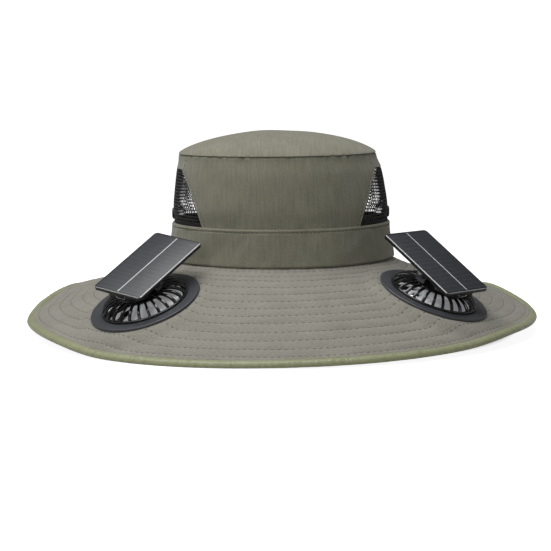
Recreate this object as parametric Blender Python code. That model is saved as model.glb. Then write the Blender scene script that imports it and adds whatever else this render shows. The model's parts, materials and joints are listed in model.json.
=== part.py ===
"""Wide-brimmed sun hat with two round fans set in the brim.

Each fan carries a small solar panel on a tilting hinge. The hat stands on its brim, facing -Y.
Azimuths are in degrees, measured from the front (-Y) towards the wearer's left (+X).
"""
from bisect import bisect_right
from math import acos, asin, cos, degrees, pi, radians, sin, sqrt

import bmesh
import bpy
from mathutils import Matrix, Vector

# Gap kept between pieces that touch
GAP = 0.0003

# Crown: outer half width and half depth where it meets the brim, and its height to the top seam
CROWN_HALF_WIDTH = 0.0882
CROWN_HALF_DEPTH = 0.0925
CROWN_HEIGHT = 0.0838
CROWN_LEAN = -0.0025
DOME_HEIGHT = 0.0176
DOME_POWER = 0.75
CROWN_CLOTH = 0.0015

# Sections of the crown's wall: height down from the top seam as a share of CROWN_HEIGHT,
# width as a share of the foot's, and lean to the side as a share of CROWN_LEAN
CROWN_SECTIONS = (
    (0.00, 0.892, 1.00),
    (0.17, 0.932, 0.45),
    (0.33, 0.956, 0.25),
    (0.50, 0.974, 0.10),
    (0.64, 0.968, 0.00),
    (0.80, 0.982, 0.00),
    (1.00, 1.000, 0.00),
)

# Band sewn round the foot of the crown
BAND_HEIGHT = 0.0295
BAND_CLOTH = 0.0016

# Net windows in the crown's sides: heights above the brim, and half depths along Y
WINDOW_FOOT = BAND_HEIGHT
WINDOW_HEIGHT = 0.0432
WINDOW_FOOT_HALF_DEPTH = 0.0640
WINDOW_HEAD_HALF_DEPTH = 0.0325
NET_CLOTH = 0.0008
NET_OVERLAP = 0.004
NET_COLUMNS = 6
NET_ROWS = 4
NET_HOLE_SHARE = 0.62
NET_SINK = 0.0009

# Press stud at the middle of each window's foot
SNAP_RADIUS = 0.0045
SNAP_HEIGHT = 0.036
SNAP_PROUD = 0.0015

# Brim: outer half width and half depth, thickness, and the sewn roll along its edge
BRIM_HALF_WIDTH = 0.2045
BRIM_HALF_DEPTH = 0.2070
BRIM_DROP = 0.057
BRIM_CLOTH = 0.0022
BRIM_LIP = 0.0022
BINDING_WIDTH = 0.0078
BINDING_THICK = 0.0046

# How the brim falls round the hat: azimuth, drop of the edge as a share of BRIM_DROP,
# and power of the fall from crown to edge
BRIM_FALL = (
    (-180.0, 1.00, 1.00),
    (-166.0, 1.00, 0.96),
    (-145.0, 0.79, 0.86),
    (-119.0, 0.62, 0.82),
    (-104.0, 0.72, 0.84),
    (-90.0, 0.83, 0.86),
    (-69.0, 0.87, 0.92),
    (-57.0, 0.92, 1.06),
    (-40.0, 1.02, 1.20),
    (0.0, 1.01, 1.14),
    (40.0, 0.95, 1.16),
    (57.0, 0.87, 1.09),
    (69.0, 0.855, 0.92),
    (90.0, 0.835, 0.86),
    (104.0, 0.765, 0.84),
    (119.0, 0.67, 0.82),
    (145.0, 0.80, 0.86),
    (166.0, 1.00, 0.96),
    (180.0, 1.00, 1.00),
)

# Where the fans sit: side, azimuth and radius of the fan's centre, heading of the panel's long
# axis relative to the brim's own fall, roll of the fork that leans the panel to the front,
# tilt of the panel's outer end about the hinge pin, and how far in its middle lies from the pin
FAN_UNITS = (
    ("left", -43.5, 0.1482, 4.1, -9.3, -3.7, 0.0074),
    ("right", 50.6, 0.1475, -7.8, 6.1, -9.9, 0.0027),
)

# How each fan's seat departs from the brim's own surface: height above it, and slopes added to
# its normal along X and Y
FAN_SEATS = {"left": (0.0020, 0.035, 0.010), "right": (0.0016, 0.015, 0.030)}

# Fan flange and throat
FLANGE_RADIUS = 0.0425
FLANGE_TOP = 0.0018
FLANGE_CHAMFER = 0.0005
THROAT_INNER = 0.031
THROAT_WALL = 0.002
THROAT_DEPTH = 0.0105
SEAT_BLEND = 0.0105

# Domed guard over the fan
GUARD_RIBS = 26
GUARD_RISE = 0.0082
GUARD_WALL = 0.0016
GUARD_HUB = 0.015
GUARD_RIB_SHARE = 0.32

# Cover under the brim, motor and impeller
COVER_RADIUS = 0.040
COVER_PLATE = 0.0016
COVER_WALL = 0.0018
COVER_DEPTH = 0.013
COVER_SPOKES = 3
SPOKE_WIDTH = 0.003
MOTOR_RADIUS = 0.009
MOTOR_HEIGHT = 0.0062
SHAFT_RADIUS = 0.001
IMPELLER_RADIUS = 0.0288
IMPELLER_HUB = 0.010
IMPELLER_HUB_HEIGHT = 0.009
BLADES = 9
BLADE_CHORD = 0.012
BLADE_WALL = 0.0012
BLADE_PITCH = 28.0

# Hinge between the guard's hub and the panel: the pin's place above the fan's seat
PIN_RADIUS = 0.0016
PIN_SETBACK = 0.007
PIN_HEIGHT = 0.0178
BRACKET_WALL = 0.0026
BRACKET_DEPTH = 0.0062
BRACKET_PLATE = 0.0009
BRACKET_CLEARANCE = 0.0010
FOOT_LENGTH = 0.010
FOOT_DEPTH = 0.005
BRACKET_TOP = 0.0026
PIN_HEAD = 0.0024
PIN_HEAD_DEPTH = 0.0012

# Solar panel, its top face measured from the pin, and the box under it
PANEL_LENGTH = 0.0765
PANEL_WIDTH = 0.0450
PANEL_THICK = 0.0021
PANEL_CORNER = 0.003
PANEL_ABOVE_PIN = 0.0066
PANEL_RIM = 0.0012
CELL_THICK = 0.0008
BOX_LENGTH = 0.037
BOX_WIDTH = 0.025
BOX_DEPTH = 0.0063
BOX_END_INSET = 0.0032
BOX_CORNER = 0.002
SOCKET_WIDTH = 0.0089
SOCKET_HEIGHT = 0.0033
SOCKET_WALL = 0.0005
SOCKET_DEPTH = 0.0055

# How finely the cloth and the turned parts are divided
CLOTH_COLUMNS = 42
BRIM_STEPS = 6
BINDING_SIDES = 6
COVER_SIDES = 20
ROUND_SIDES = 28
SMALL_SIDES = 12
CORNER_STEPS = 3


def clear_scene():
    """Remove what the file already holds."""
    for old in list(bpy.data.objects):
        bpy.data.objects.remove(old, do_unlink=True)


def make_material(name, colour, roughness, metallic=0.0):
    """A Principled material with one colour."""
    material = bpy.data.materials.new(name)
    material.use_nodes = True
    shader = material.node_tree.nodes["Principled BSDF"]
    shader.inputs["Base Color"].default_value = (*colour, 1.0)
    shader.inputs["Roughness"].default_value = roughness
    shader.inputs["Metallic"].default_value = metallic
    material.diffuse_color = (*colour, 1.0)
    return material


def make_object(name, mesh_data, material, smooth_angle=35.0):
    """Turn a finished bmesh into a named object, shaded smooth up to an angle."""
    mesh = bpy.data.meshes.new(name)
    mesh_data.to_mesh(mesh)
    mesh_data.free()
    mesh.materials.append(material)
    mesh.shade_smooth()
    mesh.set_sharp_from_angle(angle=radians(smooth_angle))
    piece = bpy.data.objects.new(name, mesh)
    bpy.context.scene.collection.objects.link(piece)
    return piece


def mix(first, second, share):
    """Straight mix of two values."""
    return first + (second - first) * share


def smooth_step(value):
    """Ease from 0 to 1."""
    value = min(max(value, 0.0), 1.0)
    return value * value * (3.0 - 2.0 * value)


def table_slope(table, row, column):
    """Slope of a table's column at a row, level at both ends."""
    if row in (0, len(table) - 1):
        return 0.0
    before, after = table[row - 1], table[row + 1]
    return (after[column] - before[column]) / (after[0] - before[0])


def table_value(table, place, column):
    """Value of a table's column on a smooth curve through its rows."""
    stops = [row[0] for row in table]
    after = min(max(bisect_right(stops, place), 1), len(table) - 1)
    low, high = table[after - 1], table[after]
    span = high[0] - low[0]
    share = min(max((place - low[0]) / span, 0.0), 1.0)
    start = table_slope(table, after - 1, column) * span
    end = table_slope(table, after, column) * span
    rise = high[column] - low[column]
    return low[column] + share * (start + share * (
        3.0 * rise - 2.0 * start - end + share * (start + end - 2.0 * rise)))


def crown_point(azimuth, share, offset=0.0):
    """A point on the crown's wall, offset outwards in plan, before the hat is lifted."""
    turn = radians(azimuth)
    scale = table_value(CROWN_SECTIONS, share, 1)
    across = (CROWN_HALF_WIDTH * scale + offset) * sin(turn)
    ahead = (CROWN_HALF_DEPTH * scale + offset) * cos(turn)
    lean = CROWN_LEAN * table_value(CROWN_SECTIONS, share, 2)
    return Vector((across + lean, -ahead, CROWN_HEIGHT * (1.0 - share)))


def raw_brim_height(x, y):
    """Height of the brim's upper face below the crown's foot, before the fans flatten it."""
    low, high = 0.0, 1.5
    for _ in range(40):
        share = (low + high) / 2.0
        width = mix(CROWN_HALF_WIDTH, BRIM_HALF_WIDTH, share)
        depth = mix(CROWN_HALF_DEPTH, BRIM_HALF_DEPTH, share)
        if (x / width) ** 2 + (y / depth) ** 2 > 1.0:
            low = share
        else:
            high = share
    side = max(-1.0, min(1.0, x / width))
    azimuth = degrees(asin(side)) if y < 0.0 else 180.0 - degrees(asin(side))
    azimuth = (azimuth + 180.0) % 360.0 - 180.0
    edge_drop = BRIM_DROP * table_value(BRIM_FALL, azimuth, 1) - BINDING_THICK / 2.0
    return -edge_drop * share ** table_value(BRIM_FALL, azimuth, 2)


def seat_frame(side, azimuth, radius):
    """Centre and normal of the flat seat that a fan presses into the brim."""
    lift, lean_x, lean_y = FAN_SEATS[side]
    x, y = radius * sin(radians(azimuth)), -radius * cos(radians(azimuth))
    reach = FLANGE_RADIUS * 0.8
    east, west = raw_brim_height(x + reach, y), raw_brim_height(x - reach, y)
    north, south = raw_brim_height(x, y + reach), raw_brim_height(x, y - reach)
    slope_x = (east - west) / (2.0 * reach)
    slope_y = (north - south) / (2.0 * reach)
    height = (2.0 * raw_brim_height(x, y) + (east + west + north + south) / 2.0) / 4.0
    normal = Vector((lean_x - slope_x, lean_y - slope_y, 1.0)).normalized()
    return Vector((x, y, height + lift)), normal


SEATS = {unit[0]: seat_frame(*unit[:3]) for unit in FAN_UNITS}


def brim_height(x, y):
    """Height of the brim's upper face, flattened under each fan."""
    height = raw_brim_height(x, y)
    for centre, normal in SEATS.values():
        distance = sqrt((x - centre.x) ** 2 + (y - centre.y) ** 2)
        hold = 1.0 - smooth_step((distance - FLANGE_RADIUS) / SEAT_BLEND)
        plane = centre.z - (normal.x * (x - centre.x) + normal.y * (y - centre.y)) / normal.z
        height = mix(height, plane, hold)
    return height


def brim_plan(azimuth, share, inset=0.0):
    """Place in plan on the brim, share running from the crown (0) to the edge (1)."""
    turn = radians(azimuth)
    width = mix(CROWN_HALF_WIDTH, BRIM_HALF_WIDTH, share) - inset
    depth = mix(CROWN_HALF_DEPTH, BRIM_HALF_DEPTH, share) - inset
    return width * sin(turn), -depth * cos(turn)


def brim_normal(x, y):
    """Upward normal of the brim's upper face."""
    step = 0.002
    slope_x = (brim_height(x + step, y) - brim_height(x - step, y)) / (2.0 * step)
    slope_y = (brim_height(x, y + step) - brim_height(x, y - step)) / (2.0 * step)
    return Vector((-slope_x, -slope_y, 1.0)).normalized()


def binding_ring(azimuth):
    """Corners of the binding's section at an azimuth, in the crown foot's own height."""
    x, y = brim_plan(azimuth, 1.0, BINDING_WIDTH / 2.0)
    normal = brim_normal(x, y)
    outward = Vector((sin(radians(azimuth)), -cos(radians(azimuth)), 0.0))
    outward = (outward - normal * outward.dot(normal)).normalized()
    centre = Vector((x, y, brim_height(x, y))) - normal * (BRIM_CLOTH / 2.0)
    corners = []
    for step in range(BINDING_SIDES):
        turn = 2.0 * pi * step / BINDING_SIDES
        across = outward * (cos(turn) * BINDING_WIDTH / 2.0)
        corners.append(centre + across + normal * (sin(turn) * BINDING_THICK / 2.0))
    return corners


def cloth_azimuths():
    """Azimuths of the cloth's columns, once round the hat."""
    return [360.0 * column / CLOTH_COLUMNS for column in range(CLOTH_COLUMNS)]


# The lowest corner of the binding rests on the floor, which sets the height of the crown's foot
CROWN_FOOT = -min(corner.z for azimuth in cloth_azimuths() for corner in binding_ring(azimuth))
LIFT = Vector((0.0, 0.0, CROWN_FOOT))


def grid_faces(columns, rows, closed=False, keep=None):
    """Faces of a grid whose rows run down or outwards and whose columns run round to the left."""
    faces = []
    for column in range(columns if closed else columns - 1):
        after = (column + 1) % columns
        for row in range(rows - 1):
            if keep is None or keep(column, row):
                faces.append(((column, row), (column, row + 1), (after, row + 1), (after, row)))
    return faces


def sheet_solid(outer, inner, faces):
    """Closed cloth or shell: faces on the outer points, the same on the inner ones, and edges."""
    mesh_data = bmesh.new()
    used = sorted({key for face in faces for key in face})
    skins = {key: (mesh_data.verts.new(outer[key]), mesh_data.verts.new(inner[key]))
             for key in used}
    directed = set()
    for face in faces:
        mesh_data.faces.new([skins[key][0] for key in face])
        mesh_data.faces.new([skins[key][1] for key in reversed(face)])
        directed.update(zip(face, face[1:] + face[:1]))
    for first, second in sorted(directed):
        if (second, first) not in directed:
            mesh_data.faces.new([skins[second][0], skins[first][0],
                                 skins[first][1], skins[second][1]])
    return mesh_data


def turned(profile, sides):
    """Solid turned about Z from a closed profile of radii and heights, taken anticlockwise."""
    mesh_data = bmesh.new()
    rings = []
    for radius, height in profile:
        if radius == 0.0:
            rings.append([mesh_data.verts.new((0.0, 0.0, height))] * sides)
            continue
        ring = [mesh_data.verts.new((radius * cos(2.0 * pi * side / sides),
                                     radius * sin(2.0 * pi * side / sides), height))
                for side in range(sides)]
        rings.append(ring)
    for index, low in enumerate(rings):
        high = rings[(index + 1) % len(rings)]
        for side in range(sides):
            after = (side + 1) % sides
            corners = [low[side], low[after], high[after], high[side]]
            distinct = list(dict.fromkeys(corners))
            if len(distinct) > 2:
                mesh_data.faces.new(distinct)
    return mesh_data


def block(size, centre):
    """Rectangular block."""
    mesh_data = bmesh.new()
    bmesh.ops.create_cube(mesh_data, size=1.0, matrix=Matrix.Translation(centre)
                          @ Matrix.Diagonal((*size, 1.0)))
    return mesh_data


def rod(radius, start, end, sides=SMALL_SIDES):
    """Round rod between two points."""
    start, end = Vector(start), Vector(end)
    length = (end - start).length
    turn = (end - start).to_track_quat("Z", "Y").to_matrix().to_4x4()
    mesh_data = bmesh.new()
    bmesh.ops.create_cone(mesh_data, cap_ends=True, segments=sides, radius1=radius,
                          radius2=radius, depth=length,
                          matrix=Matrix.Translation((start + end) / 2.0) @ turn)
    return mesh_data


def rounded_outline(width, length, corner):
    """Outline of a rectangle with round corners, anticlockwise."""
    points = []
    for side_x, side_y, start in ((1, 1, 0.0), (-1, 1, 90.0), (-1, -1, 180.0), (1, -1, 270.0)):
        for step in range(CORNER_STEPS + 1):
            turn = radians(start + 90.0 * step / CORNER_STEPS)
            points.append((side_x * (width / 2.0 - corner) + corner * cos(turn),
                           side_y * (length / 2.0 - corner) + corner * sin(turn)))
    return points


def plate(width, length, corner, low, high, shift=0.0):
    """Flat plate with round corners, its faces at two heights."""
    mesh_data = bmesh.new()
    outline = rounded_outline(width, length, corner)
    feet = [mesh_data.verts.new((x, y + shift, low)) for x, y in outline]
    heads = [mesh_data.verts.new((x, y + shift, high)) for x, y in outline]
    mesh_data.faces.new(list(reversed(feet)))
    mesh_data.faces.new(heads)
    for index, foot in enumerate(feet):
        after = (index + 1) % len(feet)
        mesh_data.faces.new((foot, feet[after], heads[after], heads[index]))
    return mesh_data


def cut(piece, cutter_data, operation="DIFFERENCE"):
    """Cut a shape out of a piece, or join one to it, with a hidden tool in the piece's own frame."""
    mesh = bpy.data.meshes.new(piece.name + "_tool")
    cutter_data.to_mesh(mesh)
    cutter_data.free()
    tool = bpy.data.objects.new(mesh.name, mesh)
    bpy.context.scene.collection.objects.link(tool)
    tool.parent = piece
    tool.hide_render = True
    tool.display_type = "WIRE"
    boolean = piece.modifiers.new("Cut", "BOOLEAN")
    boolean.operation = operation
    boolean.solver = "EXACT"
    boolean.use_self = True
    boolean.object = tool


def add_empty(name, matrix, parent=None):
    """An empty that carries a group of pieces."""
    empty = bpy.data.objects.new(name, None)
    bpy.context.scene.collection.objects.link(empty)
    empty.parent = parent
    empty.matrix_local = matrix
    return empty


def build_crown_top(cloth):
    """Domed top of the crown, standing on the wall's upper edge."""
    shares = (0.0, 0.5, 0.83, 1.0)
    outer, inner = {}, {}
    for row, share in enumerate(shares):
        bulge = (1.0 - share * share) ** DOME_POWER
        for column, azimuth in enumerate(cloth_azimuths()):
            key = (0, 0) if row == 0 else (column, row)
            edge, lining = crown_point(azimuth, 0.0), crown_point(azimuth, 0.0, -CROWN_CLOTH)
            middle = Vector((CROWN_LEAN, 0.0, CROWN_HEIGHT))
            outer[key] = middle.lerp(edge, share) + Vector((0, 0, GAP + DOME_HEIGHT * bulge))
            inner[key] = middle.lerp(lining, share)
            inner[key].z += GAP + (DOME_HEIGHT - CROWN_CLOTH) * bulge
    faces = [((0, 0),) + face[1:3] if face[0][1] == 0 else face
             for face in grid_faces(CLOTH_COLUMNS, len(shares), closed=True)]
    top = make_object("crown_top", sheet_solid(outer, inner, faces), cloth)
    top.location = LIFT


def build_crown_panels(cloth):
    """Front and back halves of the crown's wall, with the side windows cut through."""
    band_share = 1.0 - BAND_HEIGHT / CROWN_HEIGHT
    shares = (0.0, band_share * 0.28, band_share * 0.64, band_share, 1.0)
    columns = CLOTH_COLUMNS // 2 + 1
    for name, middle in (("crown_front_panel", 0.0), ("crown_back_panel", 180.0)):
        outer, inner = {}, {}
        side_gap = degrees(GAP / 2.0 / CROWN_HALF_DEPTH)
        for column in range(columns):
            turn = mix(-90.0, 90.0, column / (columns - 1))
            turn = max(-90.0 + side_gap, min(90.0 - side_gap, turn))
            for row, share in enumerate(shares):
                outer[column, row] = crown_point(middle + turn, share)
                inner[column, row] = crown_point(middle + turn, share, -CROWN_CLOTH)
                if row == len(shares) - 1:
                    outer[column, row].z += GAP
                    inner[column, row].z += GAP
        panel = make_object(name, sheet_solid(outer, inner, grid_faces(columns, len(shares))),
                            cloth)
        cut(panel, window_tool())
        panel.location = LIFT


def window_tool():
    """Trapezoid bar across the crown that cuts both side windows."""
    mesh_data = bmesh.new()
    reach = 2.0 * CROWN_HALF_WIDTH
    head = WINDOW_FOOT + WINDOW_HEIGHT
    outline = ((-WINDOW_FOOT_HALF_DEPTH, WINDOW_FOOT), (WINDOW_FOOT_HALF_DEPTH, WINDOW_FOOT),
               (WINDOW_HEAD_HALF_DEPTH, head), (-WINDOW_HEAD_HALF_DEPTH, head))
    left = [mesh_data.verts.new((-reach, y, z)) for y, z in outline]
    right = [mesh_data.verts.new((reach, y, z)) for y, z in outline]
    mesh_data.faces.new(list(reversed(left)))
    mesh_data.faces.new(right)
    for index in range(4):
        after = (index + 1) % 4
        mesh_data.faces.new((left[index], left[after], right[after], right[index]))
    return mesh_data


def build_side_nets(net):
    """Coarse net behind each window, its margin tucked behind the cloth."""
    offset = -(CROWN_CLOTH + GAP + NET_SINK)
    edge = (1.0 - NET_HOLE_SHARE) / 2.0
    column_steps = [step + side for step in range(NET_COLUMNS) for side in (edge, 1.0 - edge)]
    row_steps = [step + side for step in range(NET_ROWS) for side in (edge, 1.0 - edge)]
    column_shares = [-1.0] + [step / NET_COLUMNS for step in column_steps] + [2.0]
    row_shares = [-1.0] + [step / NET_ROWS for step in row_steps] + [2.0]
    for name, side in (("side_net_left", -1.0), ("side_net_right", 1.0)):
        outer, inner = {}, {}
        for row, row_share in enumerate(row_shares):
            inside = min(max(row_share, 0.0), 1.0)
            margin = NET_OVERLAP * (row_share - inside)
            height = WINDOW_FOOT + WINDOW_HEIGHT * (1.0 - inside) - margin
            half = mix(WINDOW_HEAD_HALF_DEPTH, WINDOW_FOOT_HALF_DEPTH, inside)
            share = 1.0 - height / CROWN_HEIGHT
            depth = CROWN_HALF_DEPTH * table_value(CROWN_SECTIONS, share, 1)
            for column, column_share in enumerate(column_shares):
                across = min(max(column_share, 0.0), 1.0)
                front = degrees(acos((half + NET_OVERLAP) / depth))
                hem = degrees(acos(half / depth)) - front
                if column_share == across:
                    turn = mix(front + hem, 180.0 - front - hem, across)
                else:
                    turn = front if column_share < 0.0 else 180.0 - front
                azimuth = turn if side > 0.0 else turn - 180.0
                outer[column, row] = crown_point(azimuth, share, offset)
                inner[column, row] = crown_point(azimuth, share, offset - NET_CLOTH)
        faces = grid_faces(len(column_shares), len(row_shares),
                           keep=lambda column, row: column % 2 == 0 or row % 2 == 0)
        piece = make_object(name, sheet_solid(outer, inner, faces), net)
        piece.location = LIFT


def build_band(cloth):
    """Band round the foot of the crown, clear of the wall by the gap."""
    shares = [1.0 - BAND_HEIGHT * step / CROWN_HEIGHT for step in (1.0, 0.5, 0.0)]
    outer, inner = {}, {}
    for column, azimuth in enumerate(cloth_azimuths()):
        for row, share in enumerate(shares):
            lift = Vector((0.0, 0.0, GAP if row == len(shares) - 1 else 0.0))
            outer[column, row] = crown_point(azimuth, share, GAP + BAND_CLOTH) + lift
            inner[column, row] = crown_point(azimuth, share, GAP) + lift
    faces = grid_faces(CLOTH_COLUMNS, len(shares), closed=True)
    band = make_object("hat_band", sheet_solid(outer, inner, faces), cloth)
    band.location = LIFT


def build_snaps(dark):
    """Press stud on each net's foot, at the crown's side."""
    share = 1.0 - SNAP_HEIGHT / CROWN_HEIGHT
    seat = GAP - CROWN_CLOTH - NET_SINK
    for name, side in (("side_snap_left", -1.0), ("side_snap_right", 1.0)):
        start = crown_point(90.0 * side, share, seat)
        end = crown_point(90.0 * side, share, SNAP_PROUD)
        end.z = start.z
        snap = make_object(name, rod(SNAP_RADIUS, start, end), dark)
        snap.location = LIFT


def build_brim(cloth):
    """Quilted brim: a thick sheet with a flat lip under the crown's wall and two fan holes."""
    edge = 1.0 - (BINDING_WIDTH + GAP) / (BRIM_HALF_WIDTH - CROWN_HALF_WIDTH)
    outer, inner = {}, {}
    for column, azimuth in enumerate(cloth_azimuths()):
        x, y = brim_plan(azimuth, 0.0, BRIM_LIP)
        outer[column, 0] = Vector((x, y, 0.0))
        inner[column, 0] = Vector((x, y, -BRIM_CLOTH))
        for row in range(BRIM_STEPS + 1):
            x, y = brim_plan(azimuth, edge * row / BRIM_STEPS)
            outer[column, row + 1] = Vector((x, y, brim_height(x, y)))
            inner[column, row + 1] = outer[column, row + 1] - brim_normal(x, y) * BRIM_CLOTH
        inner[column, 1].x, inner[column, 1].y = brim_plan(azimuth, 0.0)
    faces = grid_faces(CLOTH_COLUMNS, BRIM_STEPS + 2, closed=True)
    brim = make_object("brim", sheet_solid(outer, inner, faces), cloth)
    for unit in FAN_UNITS:
        tool = turned(fan_hole_profile(), ROUND_SIDES)
        centre, normal = SEATS[unit[0]]
        tool.transform(Matrix.Translation(centre) @ normal.to_track_quat("Z", "Y")
                       .to_matrix().to_4x4())
        cut(brim, tool)
    brim.location = LIFT


def fan_hole_profile():
    """Tool for a fan's place in the brim: the throat's hole, and flat seats above and below."""
    reach = 0.012
    hole = THROAT_INNER + THROAT_WALL + 2.0 * GAP
    above = FLANGE_RADIUS + 2.0 * GAP
    below = COVER_RADIUS + 2.0 * GAP
    top = GAP / 4.0
    foot = -BRIM_CLOTH - GAP / 4.0
    return ((0.0, foot - reach), (below, foot - reach), (below, foot), (hole, foot),
            (hole, top), (above, top), (above, reach), (0.0, reach))


def build_binding(edging):
    """Rolled binding round the brim's edge."""
    mesh_data = bmesh.new()
    rings = [[mesh_data.verts.new(corner) for corner in binding_ring(azimuth)]
             for azimuth in cloth_azimuths()]
    for index, ring in enumerate(rings):
        after = rings[(index + 1) % len(rings)]
        for corner in range(BINDING_SIDES):
            up = (corner + 1) % BINDING_SIDES
            mesh_data.faces.new((ring[corner], after[corner], after[up], ring[up]))
    binding = make_object("edge_binding", mesh_data, edging, 60.0)
    binding.location = LIFT


def unit_matrix(side, azimuth, heading):
    """Frame of a fan: Z out of the brim, Y down its fall, turned by the panel's heading."""
    centre, normal = SEATS[side]
    outward = Vector((sin(radians(azimuth)), -cos(radians(azimuth)), 0.0))
    outward = (outward - normal * outward.dot(normal)).normalized()
    across = outward.cross(normal)
    frame = Matrix((across, outward, normal)).transposed().to_4x4()
    return Matrix.Translation(centre + LIFT) @ frame @ Matrix.Rotation(radians(heading), 4, "Z")


def build_flange(side, seat, plastic):
    """Flange on the brim with the throat that goes down through it."""
    tube = THROAT_INNER + THROAT_WALL
    rim = FLANGE_RADIUS - FLANGE_CHAMFER
    profile = ((THROAT_INNER, -THROAT_DEPTH), (tube, -THROAT_DEPTH), (tube, GAP),
               (FLANGE_RADIUS, GAP), (FLANGE_RADIUS, FLANGE_TOP - FLANGE_CHAMFER),
               (rim, FLANGE_TOP), (THROAT_INNER, FLANGE_TOP))
    flange = make_object(side + "_fan_flange", turned(profile, ROUND_SIDES), plastic)
    flange.parent = seat


def build_guard(side, seat, plastic):
    """Domed guard: a rim, arched ribs with open gaps between them, and a flat hub."""
    shares = (0.0, 0.5, 0.88, 1.0)
    low = FLANGE_TOP + GAP
    reach = THROAT_INNER + THROAT_WALL
    columns = 2 * GUARD_RIBS
    pitch = 2.0 * pi / GUARD_RIBS
    outer = {(0, 0): Vector((0.0, 0.0, low + GUARD_RISE))}
    inner = {(0, 0): Vector((0.0, 0.0, low + GUARD_RISE - GUARD_WALL))}
    for column in range(columns):
        turn = pitch * (column // 2 + (GUARD_RIB_SHARE if column % 2 else 0.0))
        ray = Vector((cos(turn), sin(turn), 0.0))
        for row, share in enumerate(shares):
            arch = sqrt(1.0 - share * share)
            rise = Vector((0.0, 0.0, low + GUARD_RISE * arch))
            inner_rise = Vector((0.0, 0.0, low + (GUARD_RISE - GUARD_WALL) * arch))
            outer[column, row + 1] = ray * mix(GUARD_HUB, reach, share) + rise
            inner[column, row + 1] = ray * mix(GUARD_HUB, reach - GUARD_WALL, share) + inner_rise
    rows = len(shares) + 1

    def is_solid(column, row):
        return column % 2 == 0 or row in (0, rows - 2)

    faces = [((0, 0),) + face[1:3] if face[0][1] == 0 else face
             for face in grid_faces(columns, rows, closed=True, keep=is_solid)]
    guard = make_object(side + "_fan_guard", sheet_solid(outer, inner, faces), plastic)
    guard.parent = seat


def build_cover(side, seat, plastic):
    """Cover under the brim: a ring that grips the cloth, and spokes that carry the motor."""
    top = -BRIM_CLOTH - GAP
    bore = (THROAT_INNER + THROAT_WALL + GAP) / cos(pi / COVER_SIDES)
    wall = bore + COVER_WALL
    lip = THROAT_INNER - COVER_WALL
    floor_top = -THROAT_DEPTH - GAP
    profile = ((bore, top), (bore, floor_top), (lip, floor_top), (lip, -COVER_DEPTH),
               (wall, -COVER_DEPTH), (wall, top - COVER_PLATE), (COVER_RADIUS, top - COVER_PLATE),
               (COVER_RADIUS, top))
    cover = make_object(side + "_fan_cover", turned(profile, COVER_SIDES), plastic)
    thick = COVER_DEPTH + floor_top
    middle = -COVER_DEPTH + thick / 2.0
    cut(cover, rod(MOTOR_RADIUS + COVER_WALL, (0, 0, -COVER_DEPTH), (0, 0, floor_top)), "UNION")
    for spoke in range(COVER_SPOKES):
        arm = block((lip, SPOKE_WIDTH, thick * 0.8), ((lip + COVER_WALL) / 2.0, 0.0, middle))
        arm.transform(Matrix.Rotation(2.0 * pi * spoke / COVER_SPOKES, 4, "Z"))
        cut(cover, arm, "UNION")
    cover.parent = seat


def build_motor(side, seat, metal):
    """Motor that stands on the cover's spokes, with its shaft up into the impeller."""
    foot = -THROAT_DEPTH
    head = foot + MOTOR_HEIGHT
    tip = head + GAP + IMPELLER_HUB_HEIGHT * 0.4
    profile = ((0.0, foot), (MOTOR_RADIUS, foot), (MOTOR_RADIUS, head), (SHAFT_RADIUS, head),
               (SHAFT_RADIUS, tip), (0.0, tip))
    motor = make_object(side + "_fan_motor", turned(profile, SMALL_SIDES), metal)
    motor.parent = seat


def build_impeller(side, seat, plastic):
    """Impeller on the motor's shaft: a hub with broad pitched blades."""
    spin = add_empty(side + "_fan_axis", Matrix(), seat)
    foot = -THROAT_DEPTH + MOTOR_HEIGHT + GAP
    head = foot + IMPELLER_HUB_HEIGHT
    bore_top = foot + IMPELLER_HUB_HEIGHT * 0.4 + GAP
    bore = SHAFT_RADIUS + GAP
    profile = ((bore, foot), (IMPELLER_HUB, foot), (IMPELLER_HUB, head), (0.0, head),
               (0.0, bore_top), (bore, bore_top))
    impeller = make_object(side + "_impeller", turned(profile, SMALL_SIDES), plastic)
    blades = bmesh.new()
    root = IMPELLER_HUB - BLADE_WALL
    rise = BLADE_CHORD / 2.0 * sin(radians(BLADE_PITCH))
    for step in range(BLADES):
        shape = (IMPELLER_RADIUS - root, BLADE_CHORD, BLADE_WALL)
        pose = (Matrix.Rotation(2.0 * pi * step / BLADES, 4, "Z")
                @ Matrix.Translation(((IMPELLER_RADIUS + root) / 2.0, 0.0, head - rise - BLADE_WALL))
                @ Matrix.Rotation(radians(BLADE_PITCH), 4, "X") @ Matrix.Diagonal((*shape, 1.0)))
        bmesh.ops.create_cube(blades, size=1.0, matrix=pose)
    cut(impeller, blades, "UNION")
    impeller.parent = spin


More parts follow.
